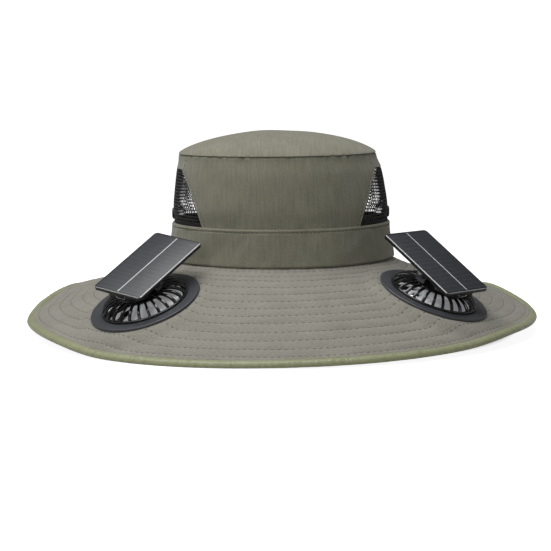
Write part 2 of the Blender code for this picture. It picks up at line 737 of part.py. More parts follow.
def build_bracket(side, fork, roll, plastic):
    """Fork that stands on the guard's hub: a foot, a thin bar and two cheeks for the hinge pin."""
    bar_top = PANEL_ABOVE_PIN - PANEL_THICK - GAP - BOX_DEPTH - BRACKET_CLEARANCE
    bar_foot = bar_top - BRACKET_PLATE
    inner_face = BOX_WIDTH / 2.0 + GAP
    outer_face = inner_face + BRACKET_WALL
    bar = block((2.0 * outer_face, BRACKET_DEPTH, BRACKET_PLATE),
                (0.0, 0.0, bar_top - BRACKET_PLATE / 2.0))
    bracket = make_object(side + "_panel_bracket", bar, plastic)
    for hand in (-1.0, 1.0):
        cheek = block((BRACKET_WALL, BRACKET_DEPTH, BRACKET_TOP - bar_foot),
                      (hand * (inner_face + outer_face) / 2.0, 0.0, (BRACKET_TOP + bar_foot) / 2.0))
        cut(bracket, cheek, "UNION")
    reach = outer_face + BRACKET_WALL
    cut(bracket, rod(PIN_RADIUS + GAP, (-reach, 0.0, 0.0), (reach, 0.0, 0.0)))
    hub_top = FLANGE_TOP + GUARD_RISE + 2.0 * GAP - PIN_HEIGHT
    head = bar_foot + BRACKET_PLATE / 2.0
    foot = block((FOOT_LENGTH, FOOT_DEPTH, head - hub_top), (0.0, 0.0, (head + hub_top) / 2.0))
    foot.transform(Matrix.Rotation(radians(-roll), 4, "Y"))
    cut(bracket, foot, "UNION")
    bracket.parent = fork


def build_pin(side, fork, metal):
    """Hinge pin through the fork and the box, with a head at each end."""
    half = BOX_WIDTH / 2.0 + BRACKET_WALL + 2.0 * GAP
    tip = half + PIN_HEAD_DEPTH
    profile = ((0.0, -tip), (PIN_HEAD, -tip), (PIN_HEAD, -half), (PIN_RADIUS, -half),
               (PIN_RADIUS, half), (PIN_HEAD, half), (PIN_HEAD, tip), (0.0, tip))
    shape = turned(profile, SMALL_SIDES)
    shape.transform(Matrix.Rotation(radians(90.0), 4, "Y"))
    pin = make_object(side + "_hinge_pin", shape, metal)
    pin.parent = fork


def build_panel(side, hinge, inward, looks):
    """Tilting solar panel: tray, cell sheet, box with its socket, all about the hinge pin."""
    top, shift = PANEL_ABOVE_PIN, -inward
    low = top - PANEL_THICK
    tray = make_object(side + "_panel_tray",
                       plate(PANEL_WIDTH, PANEL_LENGTH, PANEL_CORNER, low, top, shift),
                       looks["tray"])
    well = 2.0 * PANEL_RIM
    floor = top - CELL_THICK - GAP
    cut(tray, plate(PANEL_WIDTH - well, PANEL_LENGTH - well, PANEL_CORNER - PANEL_RIM,
                    floor, top + PANEL_THICK, shift))
    rim = well + 2.0 * GAP
    cells = make_object(side + "_solar_cells",
                        plate(PANEL_WIDTH - rim, PANEL_LENGTH - rim,
                              PANEL_CORNER - PANEL_RIM - GAP, floor + GAP, top, shift),
                        looks["cells"])

    box_end = shift + PANEL_LENGTH / 2.0 - BOX_END_INSET
    box_top = low - GAP
    box_middle = box_top - BOX_DEPTH / 2.0
    box = make_object(side + "_panel_box",
                      plate(BOX_WIDTH, BOX_LENGTH, BOX_CORNER, box_top - BOX_DEPTH, box_top,
                            box_end - BOX_LENGTH / 2.0),
                      looks["tray"])
    cut(box, rod(PIN_RADIUS + GAP, (-BOX_WIDTH, 0.0, 0.0), (BOX_WIDTH, 0.0, 0.0)))
    room = 2.0 * GAP
    mouth = plate(SOCKET_WIDTH + room, SOCKET_HEIGHT + room, SOCKET_HEIGHT * 0.45,
                  -SOCKET_DEPTH - GAP, SOCKET_DEPTH)
    out_of_end = Matrix.Translation((0.0, box_end, box_middle)) @ Matrix.Rotation(
        radians(-90.0), 4, "X")
    mouth.transform(out_of_end)
    cut(box, mouth)

    shell = plate(SOCKET_WIDTH, SOCKET_HEIGHT, SOCKET_HEIGHT * 0.45, -SOCKET_DEPTH, 0.0)
    shell.transform(out_of_end)
    socket = make_object(side + "_charge_socket", shell, looks["metal"])
    bore = plate(SOCKET_WIDTH - 2.0 * SOCKET_WALL, SOCKET_HEIGHT - 2.0 * SOCKET_WALL,
                 SOCKET_HEIGHT * 0.3, -SOCKET_DEPTH + SOCKET_WALL, SOCKET_DEPTH)
    bore.transform(out_of_end)
    cut(socket, bore)
    for piece in (tray, cells, box, socket):
        piece.parent = hinge


def build_fan_units(looks):
    """Both fans with their hinged panels."""
    for side, azimuth, radius, heading, roll, tilt, inward in FAN_UNITS:
        seat = add_empty(side + "_fan_seat", unit_matrix(side, azimuth, heading))
        build_flange(side, seat, looks["flange"])
        build_guard(side, seat, looks["guard"])
        build_cover(side, seat, looks["guard"])
        build_motor(side, seat, looks["metal"])
        build_impeller(side, seat, looks["impeller"])
        pin_place = Matrix.Translation((0.0, -PIN_SETBACK, PIN_HEIGHT))
        fork = add_empty(side + "_fork", pin_place @ Matrix.Rotation(radians(roll), 4, "Y"), seat)
        build_bracket(side, fork, roll, looks["flange"])
        build_pin(side, fork, looks["metal"])
        hinge = add_empty(side + "_panel_axis", Matrix.Rotation(radians(tilt), 4, "X"), fork)
        build_panel(side, hinge, inward, looks)


def main():
    clear_scene()
    looks = {
        "cloth": make_material("olive_cloth", (0.18, 0.18, 0.15), 0.75),
        "edging": make_material("edge_satin", (0.32, 0.34, 0.19), 0.6),
        "net": make_material("black_net", (0.01, 0.01, 0.01), 0.7),
        "flange": make_material("satin_grey_plastic", (0.06, 0.062, 0.068), 0.45),
        "guard": make_material("gloss_black_plastic", (0.012, 0.012, 0.013), 0.25),
        "impeller": make_material("light_grey_plastic", (0.45, 0.45, 0.44), 0.4),
        "tray": make_material("black_plastic", (0.015, 0.015, 0.016), 0.4),
        "cells": make_material("solar_cell", (0.05, 0.055, 0.065), 0.2),
        "metal": make_material("steel", (0.55, 0.55, 0.55), 0.3, 1.0),
    }
    build_crown_top(looks["cloth"])
    build_crown_panels(looks["cloth"])
    build_side_nets(looks["net"])
    build_band(looks["cloth"])
    build_snaps(looks["guard"])
    build_brim(looks["cloth"])
    build_binding(looks["edging"])
    build_fan_units(looks)
    bpy.context.view_layer.update()


main()
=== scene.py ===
# %% [markdown]
# # Solar fan hat
# A sun hat of olive cloth: a domed crown with a net window at each side, a band round its foot and
# a wide quilted brim with a rolled satin edge. Two round fans sit in the front of the brim, and
# over each of them a small solar panel tilts on a pin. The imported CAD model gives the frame, so
# every finer piece below is built where its CAD piece stands. Lengths are metres, and the front
# is -Y.

# %% Load the frame
import json
from math import cos, degrees, pi, radians, sin, tau

import bmesh
import bpy
import numpy as np
from mathutils import Matrix, Vector


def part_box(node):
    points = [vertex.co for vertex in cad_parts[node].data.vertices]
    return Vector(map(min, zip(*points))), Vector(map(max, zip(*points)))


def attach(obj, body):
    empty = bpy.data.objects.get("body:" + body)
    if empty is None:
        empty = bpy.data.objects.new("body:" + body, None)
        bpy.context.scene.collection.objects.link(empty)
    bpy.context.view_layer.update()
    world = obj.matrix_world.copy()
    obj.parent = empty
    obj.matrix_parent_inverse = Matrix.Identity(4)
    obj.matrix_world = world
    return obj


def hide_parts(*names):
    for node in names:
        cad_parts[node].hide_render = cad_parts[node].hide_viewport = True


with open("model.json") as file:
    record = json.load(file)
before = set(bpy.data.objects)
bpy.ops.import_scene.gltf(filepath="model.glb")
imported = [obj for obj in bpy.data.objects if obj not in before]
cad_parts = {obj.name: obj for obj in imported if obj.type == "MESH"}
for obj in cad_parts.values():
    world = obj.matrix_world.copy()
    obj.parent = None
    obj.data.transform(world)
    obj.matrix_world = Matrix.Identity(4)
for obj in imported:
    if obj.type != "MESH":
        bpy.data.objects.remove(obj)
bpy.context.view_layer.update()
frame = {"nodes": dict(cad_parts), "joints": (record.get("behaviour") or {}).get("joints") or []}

joints = {joint["name"]: joint for joint in frame["joints"]}
HANDS = {"left": -1.0, "right": 1.0}
GAP = 0.0003
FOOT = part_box("crown_front_panel")[0].z - GAP

# %% [markdown]
# The cloth of the hat follows two rules. The crown's wall is an ellipse at each height, and the
# brim falls from the crown's foot to its edge by an amount that changes round the hat: it hangs in
# front and behind and lifts at the sides. These are the sizes and tables of the CAD part, so that
# the fine cloth lies on the same surface.

# %% Sizes and tables
CROWN_HALF_WIDTH, CROWN_HALF_DEPTH, CROWN_HEIGHT, CROWN_LEAN = 0.0882, 0.0925, 0.0838, -0.0025
DOME_HEIGHT, DOME_POWER, CROWN_CLOTH = 0.0176, 0.75, 0.0015
# height down from the seam, width as a share of the foot's, lean as a share of CROWN_LEAN
CROWN_SECTIONS = (
    (0.00, 0.892, 1.00), (0.17, 0.932, 0.45), (0.33, 0.956, 0.25), (0.50, 0.974, 0.10),
    (0.64, 0.968, 0.00), (0.80, 0.982, 0.00), (1.00, 1.000, 0.00))
BAND_HEIGHT, BAND_CLOTH, BAND_FOLD = 0.0295, 0.0016, 0.0026
WINDOW_HEIGHT, WINDOW_FOOT_REACH, WINDOW_HEAD_REACH = 0.0432, 0.0605, 0.0752
BRIM_HALF_WIDTH, BRIM_HALF_DEPTH, BRIM_DROP, BRIM_CLOTH = 0.2045, 0.2070, 0.057, 0.0022
BINDING_WIDTH, BINDING_THICK = 0.0078, 0.0046
# azimuth, drop of the edge as a share of BRIM_DROP, power of the fall
BRIM_FALL = (
    (-180.0, 1.00, 1.00), (-166.0, 1.00, 0.96), (-145.0, 0.79, 0.86), (-119.0, 0.62, 0.82),
    (-104.0, 0.72, 0.84), (-90.0, 0.83, 0.86), (-69.0, 0.87, 0.92), (-57.0, 0.92, 1.06),
    (-40.0, 1.02, 1.20), (0.0, 1.01, 1.14), (40.0, 0.95, 1.16), (57.0, 0.87, 1.09),
    (69.0, 0.855, 0.92), (90.0, 0.835, 0.86), (104.0, 0.765, 0.84), (119.0, 0.67, 0.82),
    (145.0, 0.80, 0.86), (166.0, 1.00, 0.96), (180.0, 1.00, 1.00))
FLANGE_RADIUS, FAN_HOLE, SEAT_BLEND = 0.0425, 0.0372, 0.0105
# azimuth of the fan, heading of its panel, roll of the fork, tilt at rest, inward shift
FAN_UNITS = {"left": (-43.5, 4.1, -9.3, -3.7, 0.0074), "right": (50.6, -7.8, 6.1, -9.9, 0.0027)}
PIN_SETBACK, PIN_HEIGHT = 0.007, 0.0178
FLANGE_TOP, GUARD_RISE, GUARD_RIBS, BLADES = 0.0018, 0.0082, 26, 9
# stitch rows of the brim, as shares of the way from the crown to the edge
QUILT_ROWS = (0.022, 0.050, 0.112, 0.165, 0.240, 0.318, 0.394, 0.466, 0.540, 0.612, 0.694, 0.770,
              0.846, 0.915)
# pitch of a row of stitches, length and width of one stitch
QUILT_STITCH, TOP_STITCH = (0.0049, 0.0027, 0.0008), (0.0034, 0.0023, 0.0006)
# the edge row is packed close so that its dark stitches also paint a shadow line
EDGE_STITCH = (0.0036, 0.0033, 0.0007)
NET_PITCH, NET_STEP, NET_STRAND = 0.0025, 0.0028, 0.00035
SEAM_ALLOWANCE = 0.0024
# relief of the brim: puff between the rows, gathers, slow waves, and the way it takes to fade
PUFF, BRIM_GATHER, BRIM_SLACK, FADE = 0.00075, 0.00022, 0.0006, 0.010
# relief of the crown: tuck and gathers at the seam, slow waves, rise of the turned-in edge
SEAM_TUCK, SEAM_GATHER, WALL_SLACK, HEM_RISE = 0.0010, 0.00055, 0.0006, 0.00055


# %% Rules of the cloth surfaces
def mix(low, high, share):
    """Value between low and high."""
    return low + (high - low) * share


def unit(vectors):
    """The vectors at length one."""
    return vectors / np.linalg.norm(vectors, axis=-1, keepdims=True)


def bell(distance, width):
    """Smooth bump, 1 at no distance."""
    return np.exp(-(distance / width) ** 2)


def table_value(table, place, column):
    """Value of a table's column on a smooth curve through its rows."""
    rows = np.array(table)
    place = np.asarray(place, float)
    stops, values = rows[:, 0], rows[:, column]
    slopes = np.zeros(len(rows))
    slopes[1:-1] = (values[2:] - values[:-2]) / (stops[2:] - stops[:-2])
    after = np.clip(np.searchsorted(stops, place, side="right"), 1, len(rows) - 1)
    span = stops[after] - stops[after - 1]
    share = np.clip((place - stops[after - 1]) / span, 0.0, 1.0)
    start, end = slopes[after - 1] * span, slopes[after] * span
    rise = values[after] - values[after - 1]
    return values[after - 1] + share * (start + share * (
        3.0 * rise - 2.0 * start - end + share * (start + end - 2.0 * rise)))


def crown(azimuth, share, offset=0.0):
    """Points on the crown's wall, share 0 at the seam and 1 at the foot."""
    turn = np.radians(azimuth)
    scale = table_value(CROWN_SECTIONS, share, 1)
    x = (CROWN_HALF_WIDTH * scale + offset) * np.sin(turn)
    x = x + CROWN_LEAN * table_value(CROWN_SECTIONS, share, 2)
    y = -(CROWN_HALF_DEPTH * scale + offset) * np.cos(turn)
    return np.stack(np.broadcast_arrays(x, y, FOOT + CROWN_HEIGHT * (1.0 - share)), axis=-1)


SEATS = {}
for side in HANDS:
    spin = joints[side + "_fan_spin"]
    SEATS[side] = Vector(spin["pos_m"]), Vector(spin["axis"])


def brim(azimuth, share):
    """Points on the brim's upper face, share 0 at the crown and 1 at the edge."""
    turn = np.radians(azimuth)
    x = mix(CROWN_HALF_WIDTH, BRIM_HALF_WIDTH, share) * np.sin(turn)
    y = -mix(CROWN_HALF_DEPTH, BRIM_HALF_DEPTH, share) * np.cos(turn)
    place = (np.asarray(azimuth) + 180.0) % 360.0 - 180.0
    drop = BRIM_DROP * table_value(BRIM_FALL, place, 1) - BINDING_THICK / 2.0
    z = FOOT - drop * np.maximum(share, 0.0) ** table_value(BRIM_FALL, place, 2)
    for centre, normal in SEATS.values():
        away = (np.hypot(x - centre.x, y - centre.y) - FLANGE_RADIUS) / SEAT_BLEND
        away = np.clip(away, 0.0, 1.0)
        plane = centre.z - (normal.x * (x - centre.x) + normal.y * (y - centre.y)) / normal.z
        z = mix(plane, z, away * away * (3.0 - 2.0 * away))
    return np.stack(np.broadcast_arrays(x, y, z), axis=-1)


def fan_distance(points):
    """Distance of points from the nearer fan's seat."""
    return np.min([np.linalg.norm(points - np.array(centre), axis=-1)
                   for centre, _ in SEATS.values()], 0)


def normals_of(points, closed=True):
    """Unit normals of a grid of points whose columns run round and rows run down or outwards."""
    if closed:
        across = np.roll(points, -1, axis=0) - np.roll(points, 1, axis=0)
    else:
        across = np.gradient(points, axis=0)
    return unit(np.cross(np.gradient(points, axis=1), across))


def ripple(points, seed, wavelength, count=12):
    """Smooth seeded ripples of about this wavelength, about -1 to 1."""
    chance = np.random.default_rng(seed)
    total = 0.0
    for _ in range(count):
        direction = unit(chance.normal(size=3))
        wave = tau / (wavelength * chance.uniform(0.7, 1.5))
        total = total + np.sin(points @ (direction * wave) + chance.uniform(0.0, tau))
    return total / (0.5 * count) ** 0.5 / 1.6


def puckers(azimuth, seed, fewest, most, count=7):
    """Seeded gathers along a seam: waves that close round the hat."""
    chance = np.random.default_rng(seed)
    turn = np.radians(azimuth)
    total = 0.0
    for _ in range(count):
        total = total + np.sin(chance.integers(fewest, most) * turn + chance.uniform(0.0, tau))
    return total / (0.5 * count) ** 0.5 / 1.6


test = brim(np.array([0.0, 90.0]), np.array([1.0, 1.0]))
print("brim edge in front", np.round(test[0], 4), "and at the side", np.round(test[1], 4))


# %% [markdown]
# A few helpers make meshes. A sheet takes a grid of outer points and one of inner points and closes
# them into cloth with a thickness; cells that a mask leaves out become holes. A loft joins rings of
# points, which serves for turned parts, plates and swept parts. The others put a mesh in the scene
# with its material, hide the CAD piece it stands for and tie it to the body it moves with.

# %% Mesh helpers
def link(name, data):
    """New object in the scene."""
    piece = bpy.data.objects.new(name, data)
    bpy.context.scene.collection.objects.link(piece)
    return piece


def declare(piece, body, slot, *nodes):
    """Tie a finished piece to the frame."""
    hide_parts(*nodes)
    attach(piece, body)


def close_mesh(name, work, material, smooth, mesh=None):
    """Turn the normals outwards, write the faces to a mesh, finish it and put it in the scene."""
    mesh = mesh or bpy.data.meshes.new(name)
    bmesh.ops.recalc_face_normals(work, faces=work.faces[:])
    work.to_mesh(mesh)
    work.free()
    mesh.materials.append(material)
    mesh.shade_smooth()
    mesh.set_sharp_from_angle(angle=radians(smooth))
    return link(name, mesh)


def place_mesh(name, shape, material, smooth=35.0, loops=None, matrix=None):
    """New object from points and faces, with optional UV loops."""
    mesh = bpy.data.meshes.new(name)
    mesh.from_pydata([tuple(point) for point in shape[0]], [], [tuple(face) for face in shape[1]])
    if loops is not None:
        mesh.uv_layers.new(name="UVMap").data.foreach_set("uv", np.asarray(loops, float).ravel())
    if matrix is not None:
        mesh.transform(matrix)
    work = bmesh.new()
    work.from_mesh(mesh)
    return close_mesh(name, work, material, smooth, mesh)


def moulding(name, shape, finish, matrix, body, *nodes, loops=None):
    """Hard piece, placed and declared. Its finish is a material with the name of a slot."""
    declare(place_mesh(name, shape, finish[0], loops=loops, matrix=matrix), body, finish[1], *nodes)


def sheet(name, outer, inner, material, closed=True, keep=None):
    """Cloth between two grids (columns, rows, 3). The UV runs in metres along the cloth."""
    columns, rows = outer.shape[:2]
    total = columns * rows
    number = np.arange(total).reshape(columns, rows)
    cells = columns if closed else columns - 1
    low, high = number[:cells], number[(np.arange(cells) + 1) % columns]
    quads = np.stack([low[:, :-1], low[:, 1:], high[:, 1:], high[:, :-1]], axis=-1)
    mask = np.ones(quads.shape[:2], bool) if keep is None else keep[:cells, :rows - 1]
    quads = quads[mask]
    edges = np.concatenate([quads[:, [i, (i + 1) % 4]] for i in range(4)])
    known = set(map(tuple, edges))
    rim = [(b, a, a + total, b + total) for a, b in map(tuple, edges) if (b, a) not in known]
    faces = np.concatenate([quads, quads[:, ::-1] + total, np.array(rim).reshape(-1, 4)])
    along = np.linalg.norm(np.diff(outer, axis=0, append=outer[:1]), axis=-1).cumsum(axis=0)
    along = np.vstack([np.zeros((1, rows)), along[:-1]]).mean(axis=1, keepdims=True)
    down = np.linalg.norm(np.diff(outer, axis=1, prepend=outer[:, :1]), axis=-1).cumsum(axis=1)
    place = np.broadcast_arrays(along, down.mean(axis=0)[None])
    spots = faces.ravel() % total
    loops = np.stack(place, -1).reshape(-1, 2)[spots]
    if closed:
        wrap = (spots // rows == 0) & np.repeat((faces % total // rows == columns - 1).any(1), 4)
        loops[wrap, 0] += along[-1, 0] + along[1, 0]
    points = np.concatenate([outer.reshape(-1, 3), inner.reshape(-1, 3)])
    return place_mesh(name, (points, faces), material, loops=loops)


def loft(rings, joined=False):
    """Points and faces through closed rings, capped or joined from the last to the first."""
    size, faces = len(rings[0]), []
    for ring in range(len(rings) if joined else len(rings) - 1):
        here, there = ring * size, (ring + 1) % len(rings) * size
        for step in range(size):
            after = (step + 1) % size
            faces.append((here + step, here + after, there + after, there + step))
    if not joined:
        faces.append(tuple(range(size)))
        faces.append(tuple(range((len(rings) - 1) * size, len(rings) * size)))
    return np.concatenate([np.asarray(ring, float) for ring in rings]), faces


def soften(profile, radius, steps=3):
    """Round the corners of a closed profile."""
    points = [Vector(point) for point in profile]
    out = []
    for index, point in enumerate(points):
        before, after = points[index - 1] - point, points[(index + 1) % len(points)] - point
        cut = min(radius, before.length * 0.45, after.length * 0.45)
        start, end = point + before.normalized() * cut, point + after.normalized() * cut
        for step in range(steps + 1):
            share = step / steps
            out.append(tuple(start.lerp(point, share).lerp(point.lerp(end, share), share)))
    return out


def turned(profile, radius, sides):
    """Closed profile of (radius, height) pairs with rounded corners, turned about Z."""
    turn = np.arange(sides) * tau / sides
    return loft([np.stack([r * np.cos(turn), r * np.sin(turn), np.full(sides, z)], -1)
                 for r, z in soften(profile, radius)], joined=True)


def plate_rings(width, length, corner, low, high, middle=0.0, bevel=0.0004):
    """Rings of a flat plate with rounded corners and softened edges."""
    rings = []
    for height, inset in ((low, bevel), (low + bevel * 0.3, bevel * 0.3), (low + bevel, 0.0),
                          (high - bevel, 0.0), (high - bevel * 0.3, bevel * 0.3), (high, bevel)):
        ring = []
        for index, (sx, sy) in enumerate(((1, 1), (-1, 1), (-1, -1), (1, -1))):
            for step in range(7):
                turn = (index + step / 6.0) * pi / 2.0
                x = sx * (width / 2.0 - corner) + (corner - inset) * cos(turn)
                y = sy * (length / 2.0 - corner) + (corner - inset) * sin(turn)
                ring.append((x, y + middle, height))
        rings.append(ring)
    return rings


# %% [markdown]
# Stitches, ribs and net repeat, so Geometry Nodes makes them. Each tree is built here with named
# inputs. It is evaluated on a small source mesh for each piece and kept as a plain mesh.

# %% Node helpers
class Graph:
    """Adds nodes to a tree and feeds their inputs with numbers or with other sockets."""

    def __init__(self, tree):
        self.tree = tree

    def add(self, kind, feeds=None, **settings):
        node = self.tree.nodes.new(kind)
        for name, value in settings.items():
            setattr(node, name, value)
        for name, value in (feeds or {}).items():
            self.feed(node.inputs[name], value)
        return node

    def get(self, kind, feeds=None, **settings):
        return self.add(kind, feeds, **settings).outputs[0]

    def feed(self, socket, value):
        if isinstance(value, bpy.types.NodeSocket):
            self.tree.links.new(value, socket)
        else:
            socket.default_value = value

    def math(self, operation, *values):
        return self.get("ShaderNodeMath", dict(enumerate(values)), operation=operation)

    def times(self, *values):
        return self.math("MULTIPLY", *values)

    def plus(self, *values):
        return self.math("ADD", *values)

    def vector(self, operation, *values):
        return self.add("ShaderNodeVectorMath", dict(enumerate(values)),
                        operation=operation).outputs

    def noise(self, place, scale, detail, **feeds):
        return self.get("ShaderNodeTexNoise", {"Vector": place, "Scale": scale, "Detail": detail,
                                               **feeds})

    def blend(self, share, low, high):
        return self.add("ShaderNodeMix", {"Factor": share, 6: low, 7: high},
                        data_type="RGBA").outputs[2]

    def ramp(self, value, low, high):
        return self.get("ShaderNodeMapRange", {"Value": value, "From Min": low,
                                               "From Max": high})

    def place(self, kind):
        return self.add("ShaderNodeTexCoord").outputs[kind]

    def attribute(self, name):
        return self.get("GeometryNodeInputNamedAttribute", {"Name": name},
                        data_type="FLOAT_VECTOR")

    def seen(self):
        return self.add("ShaderNodeLightPath").outputs["Is Camera Ray"]


def new_group(name, kind, inputs, outputs):
    """Node group with named inputs (type, default) and outputs (type)."""
    tree = bpy.data.node_groups.new(name, kind)
    for label, (socket, value) in inputs.items():
        made = tree.interface.new_socket(label, in_out="INPUT", socket_type="NodeSocket" + socket)
        if value is not None:
            made.default_value = value
    for label, socket in outputs.items():
        tree.interface.new_socket(label, in_out="OUTPUT", socket_type="NodeSocket" + socket)
    graph = Graph(tree)
    return tree, graph, graph.add("NodeGroupInput").outputs, graph.add("NodeGroupOutput").inputs


def bake(name, tree, source, values):
    """Run a Geometry Nodes tree on a source mesh and keep the result as a plain mesh."""
    holder = link(name + "_source", source)
    modifier = holder.modifiers.new("make", "NODES")
    modifier.node_group = tree
    for item in tree.interface.items_tree:
        if item.in_out == "INPUT" and item.name in values:
            modifier[item.identifier] = values[item.name]
    ready = holder.evaluated_get(bpy.context.evaluated_depsgraph_get())
    mesh = bpy.data.meshes.new_from_object(ready)
    bpy.data.objects.remove(holder)
    return link(name, mesh)


def shape_tree(name, **inputs):
    """New Geometry Nodes group that takes a shape and gives one."""
    return new_group(name, "GeometryNodeTree", {"Geometry": ("Geometry", None), **inputs},
                     {"Geometry": "Geometry"})


def finish_tree(graph, shape, material, result):
    """Realize, smooth and paint the shape, and put it out."""
    real = graph.get("GeometryNodeRealizeInstances", {"Geometry": shape})
    even = graph.get("GeometryNodeSetShadeSmooth", {"Geometry": real})
    painted = graph.get("GeometryNodeSetMaterial", {"Geometry": even, "Material": material})
    graph.feed(result["Geometry"], painted)


# %% Trees for stitches, ribs and net
stitch_tree, graph, given, result = shape_tree(
    "sewn_stitches", Length=("Float", 0.003), Width=("Float", 0.0007), Thread=("Material", None))
bead = graph.get("GeometryNodeMeshUVSphere", {"Segments": 6, "Rings": 4, "Radius": 0.5})
size = graph.get("ShaderNodeCombineXYZ", {
    "X": given["Length"], "Y": given["Width"], "Z": graph.times(given["Width"], 0.8)})
turn = graph.get("FunctionNodeAlignRotationToVector", {
    "Vector": graph.attribute("along")}, axis="X")
turn = graph.get("FunctionNodeAlignRotationToVector", {
    "Rotation": turn, "Vector": graph.attribute("up")}, axis="Z", pivot_axis="X")
spread = graph.get("GeometryNodeInstanceOnPoints", {
    "Points": given["Geometry"], "Instance": bead, "Rotation": turn,
    "Scale": size})
finish_tree(graph, spread, given["Thread"], result)

rib_tree, graph, given, result = shape_tree(
    "ribs_round_a_hub", Count=("Int", GUARD_RIBS), Plastic=("Material", None))
line = graph.get("GeometryNodeMeshLine", {"Count": given["Count"], "Offset": (0.0, 0.0, 0.0)})
angle = graph.times(graph.get("GeometryNodeInputIndex"),
                    graph.math("DIVIDE", tau, given["Count"]))
turn = graph.get("FunctionNodeEulerToRotation", {
    "Euler": graph.get("ShaderNodeCombineXYZ", {"Z": angle})})
spread = graph.get("GeometryNodeInstanceOnPoints", {
    "Points": line, "Instance": given["Geometry"], "Rotation": turn})
finish_tree(graph, spread, given["Plastic"], result)

net_tree, graph, given, result = shape_tree(
    "knitted_net", Radius=("Float", NET_STRAND), Yarn=("Material", None))
wires = graph.get("GeometryNodeMeshToCurve", {"Mesh": given["Geometry"]})
section = graph.get("GeometryNodeCurvePrimitiveCircle", {
    "Resolution": 5, "Radius": given["Radius"]})
tube = graph.get("GeometryNodeCurveToMesh", {
    "Curve": wires, "Profile Curve": section, "Fill Caps": True})
finish_tree(graph, tube, given["Yarn"], result)
print("node trees", [tree.name for tree in (stitch_tree, rib_tree, net_tree)])


# %% [markdown]
# Finishes. One shader group makes woven cloth: two crossing waves for the weave, slubs and a soft
# mottle in the colour and small creases, all from the cloth's own UV in metres. A second makes
# moulded plastic with a fine grain. The satin binding and the cells have materials of their own.

# %% Cloth and plastic groups
def colour(red, green, blue):
    """Linear colour from sRGB values between 0 and 255."""
    parts = [part / 255.0 for part in (red, green, blue)]
    return tuple(part / 12.92 if part <= 0.04045 else ((part + 0.055) / 1.055) ** 2.4
                 for part in parts) + (1.0,)


cloth_group, graph, given, result = new_group(
    "woven_cloth", "ShaderNodeTree",
    {"Place": ("Vector", None), "Light": ("Color", colour(140, 137, 124)),
     "Dark": ("Color", colour(118, 115, 103)), "Threads": ("Float", 1300.0),
     "Crease": ("Float", 0.5), "Streak": ("Vector", (700.0, 45.0, 1.0))},
    {"Color": "Color", "Height": "Float"})
place = given["Place"]
parts = graph.add("ShaderNodeSeparateXYZ", {"Vector": place}).outputs
waves = [graph.math("SINE", graph.times(parts[i], graph.times(given["Threads"], tau)))
         for i in (0, 1)]
mottle, speck = graph.noise(place, 55.0, 5.0), graph.noise(place, 750.0, 2.0)
slub = graph.noise(graph.vector("MULTIPLY", place, given["Streak"])[0], 1.0, 3.0)
share = graph.plus(graph.times(mottle, 0.25), graph.plus(
    graph.times(slub, 0.40), graph.times(speck, 0.35)))
graph.feed(result["Color"], graph.blend(
    graph.ramp(share, 0.38, 0.62), given["Dark"], given["Light"]))
crease = graph.noise(place, 130.0, 4.0, Distortion=0.6)
height = graph.plus(graph.times(graph.times(*waves), 0.10),
                    graph.times(crease, given["Crease"]))
graph.feed(result["Height"], graph.plus(height, graph.times(slub, 0.15)))

plastic_group, graph, given, result = new_group(
    "moulded_plastic", "ShaderNodeTree",
    {"Place": ("Vector", None), "Grain": ("Float", 900.0), "Roughness": ("Float", 0.4)},
    {"Roughness": "Float", "Height": "Float"})
smear = graph.math("SUBTRACT", graph.noise(given["Place"], 40.0, 4.0), 0.5)
graph.feed(result["Roughness"], graph.plus(given["Roughness"], graph.times(smear, 0.12)))
graph.feed(result["Height"], graph.noise(given["Place"], given["Grain"], 2.0))


def new_material(name, **settings):
    """Material with its Principled shader set; returns both and a graph."""
    material = bpy.data.materials.new(name)
    material.use_nodes = True
    shader = material.node_tree.nodes["Principled BSDF"]
    for label, value in settings.items():
        shader.inputs[label.replace("_", " ")].default_value = value
    return material, Graph(material.node_tree), shader


def bumped(graph, shader, height, strength, distance):
    """Feed a height to the shader as a bump."""
    bump = graph.get("ShaderNodeBump", {
        "Height": height, "Strength": strength, "Distance": distance})
    graph.feed(shader.inputs["Normal"], bump)


def cloth_material(name, light, dark, crease=0.3, rough=0.82, sheen=0.25,
                   streak=(700.0, 45.0, 1.0)):
    """Woven cloth that reads the sheet's UV."""
    material, graph, shader = new_material(name, Roughness=rough, Sheen_Weight=sheen,
                                           Sheen_Roughness=0.5)
    made = graph.add("ShaderNodeGroup", {
        "Place": graph.place("UV"), "Light": colour(*light), "Dark": colour(*dark),
        "Crease": crease, "Streak": streak}, node_tree=cloth_group).outputs
    graph.feed(shader.inputs["Base Color"], made["Color"])
    bumped(graph, shader, made["Height"], 0.5, 0.0006)
    return material


def plastic_material(name, base, rough, grain=900.0, strength=0.12, **settings):
    """Moulded plastic that reads Object coordinates."""
    material, graph, shader = new_material(name, Base_Color=colour(*base), **settings)
    made = graph.add("ShaderNodeGroup", {
        "Place": graph.place("Object"), "Grain": grain, "Roughness": rough},
        node_tree=plastic_group).outputs
    graph.feed(shader.inputs["Roughness"], made["Roughness"])
    bumped(graph, shader, made["Height"], strength, 0.0003)
    return material


